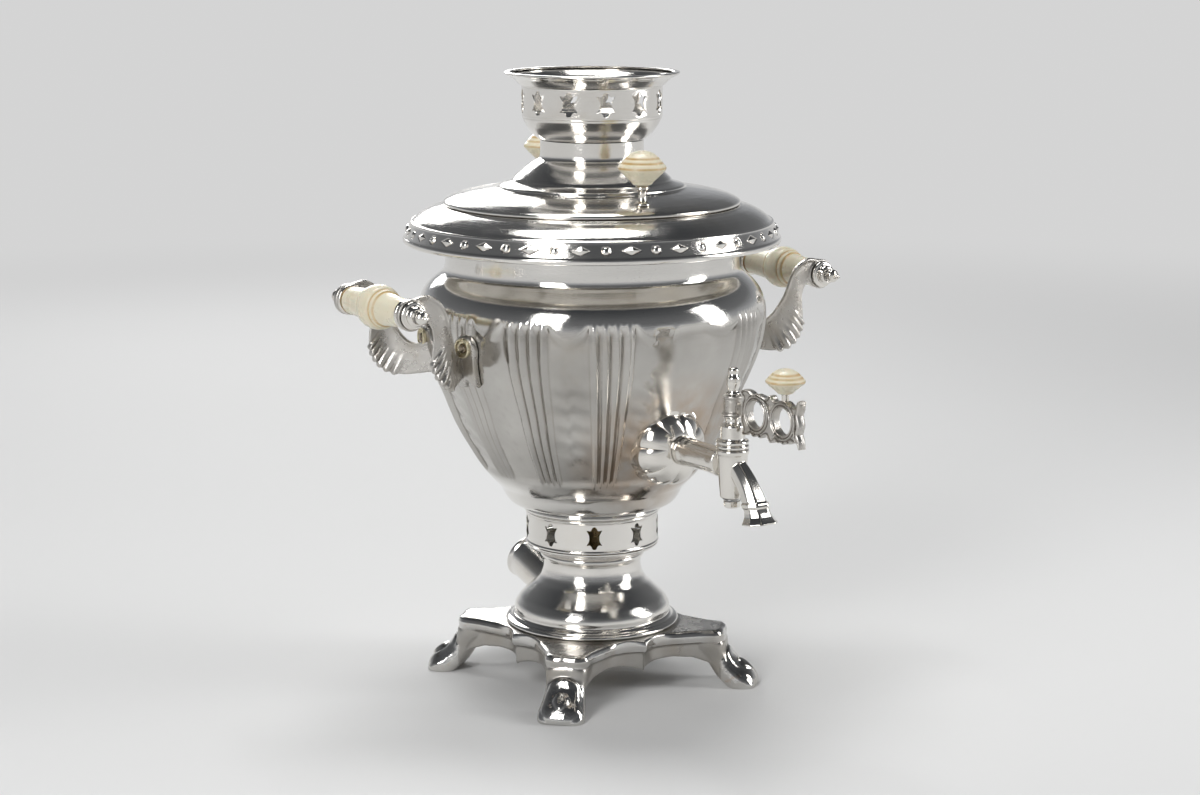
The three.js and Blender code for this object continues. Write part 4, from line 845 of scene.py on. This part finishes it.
def bracket_sheet():
    """The sheet, flat by the grip, bent in towards the bowl, ribbed at its outer edge."""
    rims = spline([a + b for a, b in bracket_ribs], rim_steps)
    points = []
    for i, (u0, v0, u1, v1) in enumerate(rims):
        share = (i / rim_steps - rib_first) / (rib_last - rib_first)
        wave = 0
        if 0 < share < 1:
            wave = abs(math.sin(share * rib_count * math.pi)) * ease(0, 0.06, share) * ease(1, 0.94, share)
        length = math.hypot(u1 - u0, v1 - v0)
        for side in (1, -1):
            for k in range(sheet_steps + 1):
                t = k / sheet_steps if side == 1 else 1 - k / sheet_steps
                swing = t * (1 + 1.5 * wave / length)
                rib = wave * ease(0.3, 0.95, t) * 1.6
                bead = 0.9 * math.exp(-((t * length - 1.1) / 0.9) ** 2)
                edge = min(t * length, (1 - t) * length, 1) ** 0.5
                half = (0.95 + rib + bead) * (0.35 + 0.65 * edge)
                z = grip_height - (v0 + (v1 - v0) * swing)
                x, y, out_x, out_y = along_sheet(u0 + (u1 - u0) * swing)
                spot = Vector((x + out_x * side * half, y + out_y * side * half))
                skin = bowl_radius(z) - 0.8
                if spot.length < skin:
                    spot = spot.normalized() * skin
                points.append((*spot, z))
    columns = 2 * (sheet_steps + 1)
    ends = [tuple(range(columns)), tuple(range(len(points) - columns, len(points)))]
    return new_piece("bracket_sheet", points, skin_faces(len(rims), columns) + ends)


def bowl_radius(z):
    """The radius of the bowl at this height."""
    return read_off([(height, r) for r, height in body_side], z)


screw_turn = math.asin(screw_ahead / bowl_radius(screw_level))
# The leaf round the screw: how far it reaches up and down at this distance to the front of the screw
foot_start = -14
foot_end = 7.7
foot_high = [(-14, -4), (-10, 2), (-7, 4.8), (-4, 6.8), (0, 7.8), (3, 7.2), (5.4, 5.6), (7, 2.8), (7.7, -1)]
foot_low = [
    (-14, -27), (-10.5, -26.4), (-7.6, -24.6), (-5, -21.4), (-2.6, -23.2), (0, -25), (2, -25.4), (3.2, -24.4),
    (4.4, -18), (5.8, -10), (7, -5.4), (7.7, -2),
]


def bracket_foot():
    """The leaf on the bowl round the screw, its lower edge notched."""
    columns, rows = 44, 34
    points = []
    for outside in (True, False):
        for i in range(columns + 1):
            across = foot_start + (foot_end - foot_start) * i / columns
            high, low = read_off(foot_high, across), read_off(foot_low, across)
            for k in range(rows + 1):
                t = k / rows
                z = screw_level + low + (high - low) * t
                border = min(t * (high - low), (1 - t) * (high - low), foot_end - across, 2)
                r = bowl_radius(z) + (0.5 + 2.1 * (max(border, 0) / 2) ** 0.5 if outside else -1.5)
                turn = screw_turn + across / bowl_radius(screw_level)
                points.append((r * math.cos(turn), -r * math.sin(turn), z))
    far = len(points) // 2
    faces = skin_faces(columns + 1, rows + 1, closed_columns=False)
    faces += [tuple(n + far for n in face) for face in faces]
    corners = (0, rows, columns * (rows + 1) + rows, columns * (rows + 1))
    rim = [*range(rows), *range(rows, corners[2], rows + 1), *range(corners[2], corners[3], -1),
           *range(corners[3], 0, -rows - 1)]
    faces += [(a, b, b + far, a + far) for a, b in zip(rim, rim[1:] + rim[:1])]
    return new_piece("bracket_foot", points, faces)


def along_rod(name, profile, steps=72, end=-1, side=1):
    """A turned piece on the axis of the grip, its heights from the grip's middle."""
    return lay_along(turned(name, profile, steps), (side * grip_reach, 0, grip_height), (0, end, 0))


def mirrored(piece, name, side, end):
    """A copy of the right front piece for another side or end."""
    other = added(name, piece.data.copy())
    flip = Matrix.Diagonal((side, end, 1, 1))
    other.data.transform(Matrix.Translation(middle) @ flip @ Matrix.Translation(-middle))
    if side * end < 0:
        other.data.flip_normals()
    return other


def ivory_plastic(name, axis, middle_at, grooves):
    """Plastic the colour of old ivory, with ochre dirt in grooves along this axis."""
    finish = Finish(name, (0.72, 0.67, 0.52), 0, 0.3)
    finish.shader["Subsurface Weight"].default_value = 0.12
    finish.shader["Subsurface Scale"].default_value = 0.002
    finish.stain((0.64, 0.56, 0.38), finish.ramp(finish.cloud(40, 5, 0.6), 0.45, 0.75, 0, 0.6))
    off = finish.maths("ABSOLUTE", finish.maths("SUBTRACT", finish.along(axis), middle_at))
    dirt = finish.lines(off, [g * mm for g in grooves], 0.9 * mm)
    finish.stain((0.5, 0.31, 0.1), finish.times(dirt, finish.ramp(finish.cloud(70, 5, 0.6), 0.3, 0.6, 0.35, 0.9)))
    finish.stain((0.5, 0.4, 0.25), finish.times(finish.ramp(finish.cloud(600, 3, 0.5), 0.68, 0.76), 0.5))
    finish.relief(finish.cloud(120, 3), 0.0001)
    return finish.done(finish.ramp(finish.cloud(90, 6, 0.6), 0.3, 0.7, 0.2, 0.42))


def dull_casting(name, deepest):
    """Plating gone grey-silver, rubbed on the ribs, with painted shade between them."""
    finish = Finish(name, (0.54, 0.52, 0.49), 1, 0.3)
    finish.stain((0.4, 0.35, 0.28), finish.ramp(finish.cloud(50, 5, 0.6), 0.45, 0.75, 0, 0.6))
    # Painted shade: near-black colour in the hollows between the ribs and in the key's openwork.
    finish.stain((0.12, 0.1, 0.08), finish.hollow(0.496, deepest, 0.8))
    finish.relief(finish.cloud(700, 4, 0.6), 0.0002)
    finish.relief(finish.cloud(200, 2), 0.00022)
    return finish.done(finish.ramp(finish.cloud(140, 7, 0.65), 0.3, 0.7, 0.2, 0.42))


grip_ivory = ivory_plastic("grip_ivory", "Y", middle_y, (6.9, 10.3, 31.9))
bracket_finish = dull_casting("bracket_nickel", 0.46)
bright_casting = polished_nickel("bright_casting", (0.78, 0.755, 0.71), 0.5)
grip_side = [
    (3.1, 32.3), (7.6, 32.3), (8.2, 31.6), (8.5, 26), (9.2, 17), (9.8, 11.4), (9.9, 10.4), (10.5, 10), (11, 9.5),
    (11.3, 8.2), (11.3, 7.2), (10.9, 6.7), (11.7, 6.2), (12.6, 5.2), (13.2, 3), (13.5, 0),
]
acorn_side = [
    (0, 0), (7.9, 0), (8.3, 0.5), (8.3, 1.5), (7.7, 2.1), (6.4, 2.3), (5.8, 2.7), (6.1, 3.4), (6.3, 4.4), (6, 5.6),
    (5.3, 6.6), (4.4, 7), (3.7, 6.7), (2.6, 6.1), (2, 6.2), (1.9, 7.6), (2.4, 8.3), (3.4, 8.9), (4, 9.8), (4.2, 10.9),
    (3.9, 12.1), (3.1, 13), (2, 13.5), (1.5, 13.8), (1.8, 14.3), (2, 15), (1.7, 15.9), (1.1, 16.4), (0.9, 17),
    (0.5, 17.7), (0, 17.9),
]
ferrule_side = [(3.1, 32.6), (8.6, 32.6), (9.2, 33), (9.3, 34), (8.9, 34.9), (8.2, 35.2), (3.1, 35.2)]
grip_profile = soft(grip_side + [(r, -y) for r, y in reversed(grip_side[:-1])], 0.7)
cup_brass = brushed("cup_brass", (0.76, 0.69, 0.5), 0.3)
dark_brass = brushed("dark_brass", (0.3, 0.25, 0.19), 0.22)
bracket_ring = along_rod("bracket_ring", soft([
    (3.1, 35.6), (8.2, 35.6), (9.4, 36.2), (9.5, 38.8), (8.7, 39.6), (8.2, 38.9), (3.1, 38.9),
], 0.4, closed=True), 64)
bracket = cast("bracket", [bracket_sheet(), bracket_foot(), bracket_ring], 0.42, 2)


def at_screw(name, profile, side, end, steps=32):
    """A turned piece on the axis of a bracket's screw, its heights from the bowl's skin."""
    way = (side * math.cos(screw_turn), end * math.sin(screw_turn), 0)
    r = bowl_radius(screw_level)
    return lay_along(turned(name, profile, steps), (way[0] * r, way[1] * r, screw_level), way)


cup_side = soft([
    (2.4, 2.2), (5.2, 2.2), (5.9, 2.8), (6, 4.4), (5.5, 5), (4.9, 4.7), (4.6, 3.6), (4, 3), (2.4, 2.9),
], 0.35, closed=True)
screw_side = soft([(0, 0), (2, 0), (2, 3), (2.9, 3.1), (3, 3.9), (2.3, 4.7), (1.1, 5.1), (0, 5.2)], 0.3)
for side, side_name in ((-1, "left"), (1, "right")):
    grip = along_rod(side_name + "_ivory_grip", grip_profile, 96, side=side)
    place(grip, "vessel", grip_ivory, side_name + "_grip")
    for end, end_name in ((1, "front"), (-1, "rear")):
        label = side_name + "_" + end_name
        arm = mirrored(bracket, label + "_casting", side, end)
        place(arm, "vessel", bracket_finish, label + "_bracket")
        ferrule = along_rod(label + "_ring", soft(ferrule_side, 0.4, closed=True), 72, -end, side)
        place(ferrule, "vessel", bright_casting, label + "_ferrule")
        nut = along_rod(label + "_nut", soft([(r, 39.6 + y) for r, y in acorn_side], 0.3), 72, -end, side)
        place(nut, "vessel", bright_casting, label + "_acorn_nut")
        cup = at_screw(label + "_cup", cup_side, side, -end)
        place(cup, "vessel", cup_brass, label + "_cup_washer")
        screw = at_screw(label + "_screw", screw_side, side, -end)
        place(screw, "vessel", dark_brass, label + "_bracket_screw")
bpy.data.objects.remove(bracket)
dress(plain_steel, "left_handle_rod", "right_handle_rod")

# Tap
# The tap is cast brass, plated: a pipe and a barrel in one, with a chamfered nose that bends down,
# and a lobed escutcheon that hides its joint with the bowl. Inside, a nut holds it over a rubber wedge.
tap_level = 164.2
tap_reach = 146.17
wall_reach = bowl_radius(tap_level)
nose_stations = [
    (149, 0.6, 5, 5.4), (152, -1.6, 5.4, 5.7), (155.6, -4.6, 5.7, 5.9), (159.4, -8, 6, 6), (162.8, -11.8, 6.3, 6.1),
    (165.6, -15.4, 6.7, 6.2), (167.4, -18.2, 7, 6.4),
]
nose_flare = [
    (167.6, -18.5, 7.8, 7.1), (168.2, -19.6, 8, 7.3), (168.9, -20.7, 7.8, 7.1), (169.2, -21.2, 7.1, 6.5),
    (170.2, -23.4, 7.3, 6.6), (171.3, -25.8, 8, 7.1), (172.2, -28, 9.3, 8.1), (172.7, -29.2, 10.2, 8.9),
    (172.9, -29.9, 10.2, 8.9), (172.8, -29.9, 9.2, 8), (172, -27.6, 7.8, 6.8), (170.6, -24, 6, 5.4),
    (168.6, -20, 5, 4.6),
]


def along_tap(name, profile, steps=96, relief=None, crease=30):
    """A turned piece along the pipe, its heights from the samovar's axis."""
    return lay_along(turned(name, profile, steps, crease, relief), (0, 0, tap_level), (0, -1, 0))


def over_tap(name, profile, steps=96, out=0):
    """A turned piece on the plug's upright axis, its heights from the pipe's."""
    piece = turned(name, [(r, z + tap_level) for r, z in profile], steps)
    piece.data.transform(Matrix.Translation((0, -(tap_reach + out) * mm, 0)))
    return piece


def tap_nose():
    """Chamfered rings along the bend, then the collar and the flare of the mouth."""
    stations = spline(nose_stations, 4) + nose_flare
    bend_count = len(stations) - 7
    rings = []
    for i, (out, drop, w, h) in enumerate(stations):
        way = Vector((0.35, -1))
        if i < bend_count:
            before, after = stations[max(i - 1, 0)], stations[i + 1]
            way = Vector((after[0] - before[0], after[1] - before[1]))
        way.normalize()
        upright = ease(0, bend_count + 1, i)
        way = Vector((way.x * (1 - upright) + 0.12 * upright, way.y)).normalized()
        square = [(w, -h * 0.42), (w, h * 0.42), (w * 0.52, h), (-w * 0.52, h)]
        square += [(-x, -y) for x, y in square]
        rings.append([
            Vector((x, -(out - way.y * u), tap_level + drop + way.x * u)) for x, u in soft(square, 0.7, closed=True)
        ])
    return loft("tap_nose", rings, 30)


petal_fold = 1.9
escutcheon_rise = 13


def petals(angle, r):
    """Eight rounded lobes that deepen towards the rim."""
    return -petal_fold * (1 - abs(math.sin(angle * 4 + math.pi / 8)) ** 0.55) * ease(8.4, 20, r)


def escutcheon():
    """A lobed dome along the pipe, its rim cut to the slope of the bowl."""
    crest = wall_reach + escutcheon_rise
    dome = soft([(r, crest - drop) for r, drop in (
        (7.9, 2), (8.2, 0.2), (9.4, 0), (12.5, 0.9), (16.5, 2.6), (20, 5.2), (22.6, 8.6), (24, 12),
    )], 3)
    dome += [(24, crest - drop) for drop in (13.4, 14.8, 17, 20, 23, 26, 30, 34, 38)]
    piece = along_tap("escutcheon", dome + [(20, crest - 38), (7.9, crest - 30)], 320, petals, 45)
    for vertex in piece.data.vertices:
        spot = (vertex.co - middle) / mm
        wall = math.sqrt(max((bowl_radius(spot.z) - 2) ** 2 - spot.x ** 2, 0))
        if -spot.y < wall:
            vertex.co.y = middle_y - wall * mm
    return piece


tap_pipe = along_tap("tap_pipe", soft([
    (0, 92), (8.1, 92), (8.2, 97), (8.7, 98.6), (8.8, 101), (8.3, 105), (8.3, 130), (8.8, 137), (0, 139),
], 1.2))
tap_barrel = over_tap("tap_barrel", soft([
    (0, -19.4), (6.4, -19.4), (7.1, -18.8), (7.5, -14), (8.9, 4), (9, 6.4), (9.7, 7.2), (9.8, 9.2), (9.2, 10), (0, 10),
], 0.6))
tap_casting = cast("tap_casting", [tap_pipe, tap_barrel, tap_nose()], 0.34, 3)
place(tap_casting, "vessel", bright_casting, "tap_body")
place(escutcheon(), "vessel", bright_casting, "tap_escutcheon")
dress(black_rubber, "tap_inner_gasket")
dress(worn_brass, "tap_inner_nut")

# Plug and key
# A taper plug turns in the barrel, held from below by a spring washer and a nut. Its stem carries
# the key: an openwork casting of two rings, with a plastic knob riveted over the outer ring.
plug_side = soft([
    (0, -22.6), (2.6, -22.6), (2.6, -19.7), (4.8, -19.4), (6.4, 10), (6.4, 10.3), (9.2, 10.3), (9.7, 10.9),
    (9.6, 12.1), (8.7, 12.8), (9.5, 13.4), (9.7, 14.4), (9.2, 15.3), (7.5, 15.8), (7.3, 16.4), (7.3, 23.4),
    (6.8, 24.3), (4.9, 24.9), (4.3, 25.6), (4.3, 28), (5.2, 28.6), (5.9, 29), (5.8, 29.5), (2.9, 29.6),
    (2.9, 41.7), (2, 41.8), (2, 47), (0, 47.1),
], 0.45)
hub_side = soft([
    (3.1, 29.8), (6.3, 29.8), (6.6, 30.4), (6.4, 31.2), (5.6, 31.8), (5.5, 39.6), (6.1, 40.3), (6.3, 41),
    (5.9, 41.4), (3.1, 41.5),
], 0.4, closed=True)
finial_side = soft([
    (2.3, 42), (4, 42), (4.3, 42.5), (4.1, 43.1), (3, 43.8), (2.9, 45), (3.9, 47.2), (4.2, 49.6), (4, 51.8),
    (3.1, 53.2), (2.7, 54), (2.9, 54.9), (3.3, 55.5), (3.2, 56.6), (2.4, 57.6), (0, 57.9),
], 0.4)
key_level = 34
key_half = 1.7
ring_reaches = (24, 48.4)


def on_key(reach, level, across=0.0):
    """A point of the key, from the plug's axis and the middle of the rings."""
    return Vector((across, -(tap_reach + reach), tap_level + key_level + level))


def key_bar(points, half):
    """A rounded bar through these (reach, level, thickness) points."""
    line = spline(points, 6)
    rings = []
    for (before, (u, v, thick), after) in zip(line[:1] + line, line, line[1:] + line[-1:]):
        way = Vector((after[0] - before[0], after[1] - before[1])).normalized()
        ring = []
        for k in range(10):
            angle = 2 * math.pi * (k + 0.5) / 10
            rise = math.cos(angle) * thick
            ring.append(on_key(u - way.y * rise, v + way.x * rise, math.sin(angle) * half))
        rings.append(ring)
    return loft("key_bar", rings)


def across_key(name, profile, steps, reach):
    """A turned piece whose axis lies across the key at this reach."""
    return lay_along(turned(name, profile, steps), on_key(reach, 0), (1, 0, 0))


def key_ring(reach):
    """A flat ring with a raised rim along its bore and its edge."""
    rim = [(8, -2.3), (8.3, -2.9), (8.8, -2.9), (9.2, -2.2), (9.7, -2.2), (10.1, -2.8), (10.7, -2.8), (11, -2.2)]
    return across_key("key_ring", soft(rim + [(r, -z) for r, z in reversed(rim)], 0.3, closed=True), 96, reach)


key_edge = [
    (11.6, 5.1), (13, 7.8), (11, 10), (10.4, 11.4), (13, 12.6), (17.6, 12.2), (20.6, 10.9), (25, 11.6), (29.6, 10.8),
    (33.6, 10), (36.2, 12.6), (37.6, 12.4), (39.4, 10.4), (43, 10.2), (46.6, 11.4), (51.4, 11.5), (55, 9.6),
    (59.4, 9.4), (61, 8.4), (58.8, 5), (59.6, 1.4), (59, -3), (59.6, -7), (60.4, -10), (56.6, -9.4), (54.4, -11.6),
    (51.8, -11), (49.6, -12.6), (47.4, -11.6), (44.6, -12.4), (42, -11), (38.4, -13.6), (36.2, -12), (34, -9.6),
    (30.6, -11), (28.4, -12.6), (25.6, -11.4), (22, -12.8), (19.4, -11), (15, -13), (11.8, -12.8), (13, -9.8),
    (11.6, -7.2), (11, -4),
]
key_edge.append(key_edge[0])
key_neck = [(4.5, 0.5, 4), (9, 0.2, 3.8), (13.5, 0, 4.6)]
key_band = [
    (30, 9.4, 0.6), (34.6, 6.4, 0.7), (36.4, 1.6, 0.8), (38.2, -3.4, 0.7), (42.4, -8.6, 0.6), (47, -10.8, 0.5),
]
key_end = [
    (64, 13.4, 1), (62.8, 12.2, 2.1), (62.4, 9, 1.9), (61.4, 6, 1.5), (62, 3, 1.8), (62.6, 0, 2), (62, -3, 1.8),
    (61.4, -5.6, 1.5), (62.4, -8.4, 2), (63.4, -11, 1.5), (64.2, -13.6, 0.6),
]


def key_plate():
    """The flat of the key inside its scalloped edge, with the two bores cut out."""
    edge = spline(key_edge, 4)[:-1]
    plate = loft("key_plate", [[on_key(u, v, x) for u, v in edge] for x in (-key_half, key_half)])
    for reach in ring_reaches:
        cut_away(plate, across_key("key_bore", [(0, -4), (8.4, -4), (8.4, 4), (0, 4)], 48, reach))
    return plate


def key_casting():
    """Hub, flat, rings, raised edge, neck, winding band and waved end bar."""
    parts = [over_tap("key_hub", hub_side, 64), key_plate(), *[key_ring(reach) for reach in ring_reaches]]
    for line, half in (([(u, v, 0.55) for u, v in key_edge], 2.8), (key_neck, 2.2), (key_band, 3.1), (key_end, 3)):
        parts.append(key_bar(line, half))
    return cast("key_casting", parts, 0.24, 2)


knob_shares = [
    (0, 0.004), (0.16, 0.004), (0.36, 0.004), (0.41, 0.03), (0.46, 0.09), (0.64, 0.2), (0.87, 0.36), (0.985, 0.45),
    (1, 0.49), (0.99, 0.53), (0.95, 0.575), (0.88, 0.625), (0.855, 0.645), (0.845, 0.665), (0.78, 0.72), (0.72, 0.76),
    (0.7, 0.775), (0.685, 0.795), (0.6, 0.85), (0.48, 0.915), (0.31, 0.968), (0.15, 0.994), (0, 1),
]
# Steps of a knob, as shares of its height, where dirt settles
knob_grooves = (0.5, 0.655, 0.785)


def knob_button(name, radius, height, foot):
    """A cone below, a sharp edge, two steps and a round button on top."""
    side = [(u * radius, foot + v * height) for u, v in knob_shares]
    return turned(name, soft(side, 0.35), 96)


def knob_ivory(name, height, foot):
    """The ivory of a knob, with dirt on its steps."""
    return ivory_plastic(name, "Z", 0, [foot + share * height for share in knob_grooves])


place(over_tap("plug", plug_side), "key_set", bright_casting, "tap_plug")
place(key_casting(), "key_set", dull_casting("key_nickel", 0.475), "tap_key")
place(over_tap("finial", finial_side, 64), "key_set", bright_casting, "key_finial")
spring_side = soft([(2.9, -20.5), (5.4, -20.5), (5.6, -20.1), (5.4, -19.8), (2.9, -19.8)], 0.15, closed=True)
place(over_tap("spring_washer", spring_side, 48), "key_set", plain_steel, "plug_spring_washer")
tail_side = soft([
    (2.9, -25.2), (4.2, -25.2), (4.9, -24.6), (5, -21.4), (4.7, -20.9), (2.9, -20.8),
], 0.4, closed=True)
place(over_tap("tail_nut", tail_side, 8), "key_set", bright_casting, "plug_nut")
pin_side = soft([(0, 43.5), (2.1, 43.5), (2.1, 49), (2.5, 49.6), (2.1, 50.2), (2.1, 54), (0, 54)], 0.3)
place(over_tap("knob_pin", pin_side, 48, ring_reaches[1]), "key_set", bright_casting, "key_knob_pin")
key_knob_radius = 11.4
key_knob_height = 14.4
key_knob_foot = tap_level + key_level + 16
key_knob = knob_button("key_knob", key_knob_radius, key_knob_height, key_knob_foot)
key_knob.data.transform(Matrix.Translation((0, -(tap_reach + ring_reaches[1]) * mm, 0)))
key_ivory = knob_ivory("key_knob_ivory", key_knob_height, key_knob_foot)
place(key_knob, "key_set", key_ivory, "key_knob")

# Ring
# A pressed ring of plated sheet hangs over the neck. Its slanting band is embossed with twenty-four
# round bosses and as many diamonds between them, and its lower edge is rolled.
ring_side = [
    (90.1, 300.3), (90.1, 302.9), (90.8, 303.3), (92.6, 303.3), (93.8, 302.7), (95.4, 302.3), (98, 301.6),
    (101.4, 300.3), (104.6, 298.7), (107.4, 296.9), (109.4, 295.3), (110.8, 293.9), (111.3, 293.6), (112, 293.7),
    (112.5, 293.2), (112.6, 292.4), (116, 284.6), (116.3, 284.1), (117, 283.4), (117.3, 282.2), (117, 280.9),
    (116.1, 280.2), (115.2, 280.5), (114.8, 281.4),
]
ring_under = [
    (114.3, 284.4), (111, 291.6), (108.6, 294.4), (104, 297.4), (98, 300.1), (93, 301.4), (92.7, 300.3),
]
motif_count = 24
motif_reach = 114.3
motif_steps = 84
boss_radius = 2.1
boss_height = 1.05
moat_width = 0.8
moat_depth = 0.35
diamond_reach = 5.2
diamond_rise = 2.5
diamond_height = 1.5
band_start = (112.6, 292.4)
band_end = (116, 284.6)


def motif(angle, along):
    """Height of the embossing at this angle and this far down the band."""
    pitch = 2 * math.pi / motif_count
    across = (angle / pitch - round(angle / pitch)) * pitch * motif_reach
    boss = math.hypot(across, along)
    if boss < boss_radius:
        return boss_height * math.sqrt(1 - (boss / boss_radius) ** 2) ** 0.9
    if boss < boss_radius + moat_width:
        return -moat_depth * math.sin((boss - boss_radius) / moat_width * math.pi)
    far = abs(pitch * motif_reach / 2 - abs(across))
    facet = 1 - far / diamond_reach - abs(along) / diamond_rise
    if facet > 0:
        return diamond_height * facet - 0.25 * ease(0.9, 0, far)
    return -0.28 * ease(-0.25, 0, facet)


def pressed_ring():
    """The ring on a fine grid, so that the embossing has real relief."""
    way = Vector(band_end) - Vector(band_start)
    half = way.length / 2
    way.normalize()
    out = Vector((-way.y, way.x))
    profile = finer(soft(ring_side, 0.8), 0.3, 112.5, 284.5) + soft(ring_under, 0.8)
    columns = motif_count * motif_steps
    points = []
    for i in range(columns):
        angle = 2 * math.pi * i / columns
        for r, z in profile:
            rise = 0
            spot = Vector((r, z)) - Vector(band_start)
            if r > 112 and 284 < z < 293 and spot.dot(out) > -0.4:
                along = spot.dot(way) - half
                rise = motif(angle, along) * ease(half, half - 0.8, abs(along))
            points.append(round_axis(angle, r + out.x * rise, z + out.y * rise))
    return new_piece("pressed_ring", points, skin_faces(columns, len(profile), closed_rows=True), 35)


place(pressed_ring(), "vessel", turned_nickel, "collar_ring")

# Lid
# The lid is spun in one sheet: a rim, broad steps and a dome that ends in the neck for the crown.
# A pierced plate in the neck lets the steam out, and two plastic knobs stand on waisted metal stems.
lid_side = [
    (89.4, 303.5), (91.2, 303.6), (91.8, 304.2), (91.8, 305.2), (91.2, 306.1), (89, 307.3), (84.5, 309), (80, 310.1),
    (75.5, 311), (70, 311.8), (64.5, 312.6), (60.4, 313.1), (58.4, 313.4), (57.6, 314), (57.4, 315), (56.4, 315.6),
    (53.6, 316.3), (50.8, 317.2), (49.6, 318), (48.8, 319.4), (46.8, 321.2), (44.5, 323.3), (40.5, 326.6),
    (36.4, 329.5), (33.2, 331.2), (32.3, 332.4), (32, 334), (32, 342.8),
]
knob_reach = 77.3
knob_turn = math.radians(-11.5)
vent_count = 6
vent_reach = 17
vent_radius = 2.6
lid_knob_foot = 322.2
lid_knob_radius = 14.4
lid_knob_height = 20.3


def vent_plate():
    """The pierced plate in the neck."""
    plate = turned("vent_plate", [(0, 332.4), (31.2, 332.4), (31.2, 333.5), (0, 333.5)], 96)
    for k in range(vent_count):
        drill = turned("vent_drill", [(0, 330), (vent_radius, 330), (vent_radius, 336), (0, 336)], 32)
        turn = Matrix.Rotation(2 * math.pi * k / vent_count, 4, "Z")
        set_out = Matrix.Translation(Vector((0, vent_reach * mm, 0)) - middle)
        drill.data.transform(Matrix.Translation(middle) @ turn @ set_out)
        cut_away(plate, drill)
    return plate


def by_knob(piece, end):
    """Sets a turned piece over the front or the rear knob's place."""
    piece.data.transform(Matrix.Translation(Vector(round_axis(knob_turn, knob_reach * end, 0)) * mm))
    return piece


stem_side = [
    (0, 306), (2, 306), (2, 309.6), (4.9, 310), (5.1, 310.8), (4.5, 311.7), (3, 312.6), (2.5, 314.4), (2.4, 316.6),
    (2.9, 318.4), (4, 319.6), (4.3, 320.6), (3.7, 321.6), (2.2, 322.2), (2, 330), (0, 330),
]
lid_under = inside(lid_side[5:], sheet)[::-1] + [(87.8, 304.6), (87.8, 297), (88.2, 296.5), (88.9, 296.9)]
lid_sheet = turned("lid_sheet", soft(lid_side, 1.4) + lid_under, 160)
lid_ivory = knob_ivory("lid_knob_ivory", lid_knob_height, lid_knob_foot)
place(lid_sheet, "lid_set", turned_nickel, "lid")
place(vent_plate(), "lid_set", turned_nickel, "lid")
for end, end_name in ((1, "front"), (-1, "rear")):
    stem = by_knob(turned("lid_stem_" + end_name, soft(stem_side, 0.6), 64), end)
    place(stem, "lid_set", bright_casting, "lid_knob_stem_" + end_name)
    button = knob_button("lid_button_" + end_name, lid_knob_radius, lid_knob_height, lid_knob_foot)
    place(by_knob(button, end), "lid_set", lid_ivory, "lid_knob_" + end_name)

# Crown
# The crown is a spun cup on the neck of the lid, pierced with twelve hide-shaped openings.
# Its flared rim is rolled to a flat, and carries the teapot.
crown_low = soft([
    (30.2, 335.2), (30.4, 342.6), (31, 343.1), (33, 343.3), (35.2, 345), (37.7, 347.6), (40.2, 351), (42.2, 354.6),
    (42.9, 356), (43, 357), (43.3, 357.6), (43.4, 358.4),
], 1.2)
crown_high = soft([
    (43.4, 375), (43.5, 375.8), (44, 376.2), (44.9, 376.6), (46.4, 378.3), (48.6, 380.3), (51, 381.7), (53.2, 382.7),
    (54, 383.3), (54.1, 384), (53.6, 384.5), (51, 384.5), (50.4, 384.2),
], 0.7)
crown_count = 12
crown_turn = 7.1
crown_hide = (11.4, 14.9)
crown_gauge = 0.9
crown_sheet = pierced_sheet(
    "crown_sheet", crown_low + crown_high, len(crown_low) - 1, crown_count, crown_turn, crown_hide, crown_gauge
)
place(crown_sheet, "crown_set", turned_nickel, "crown")
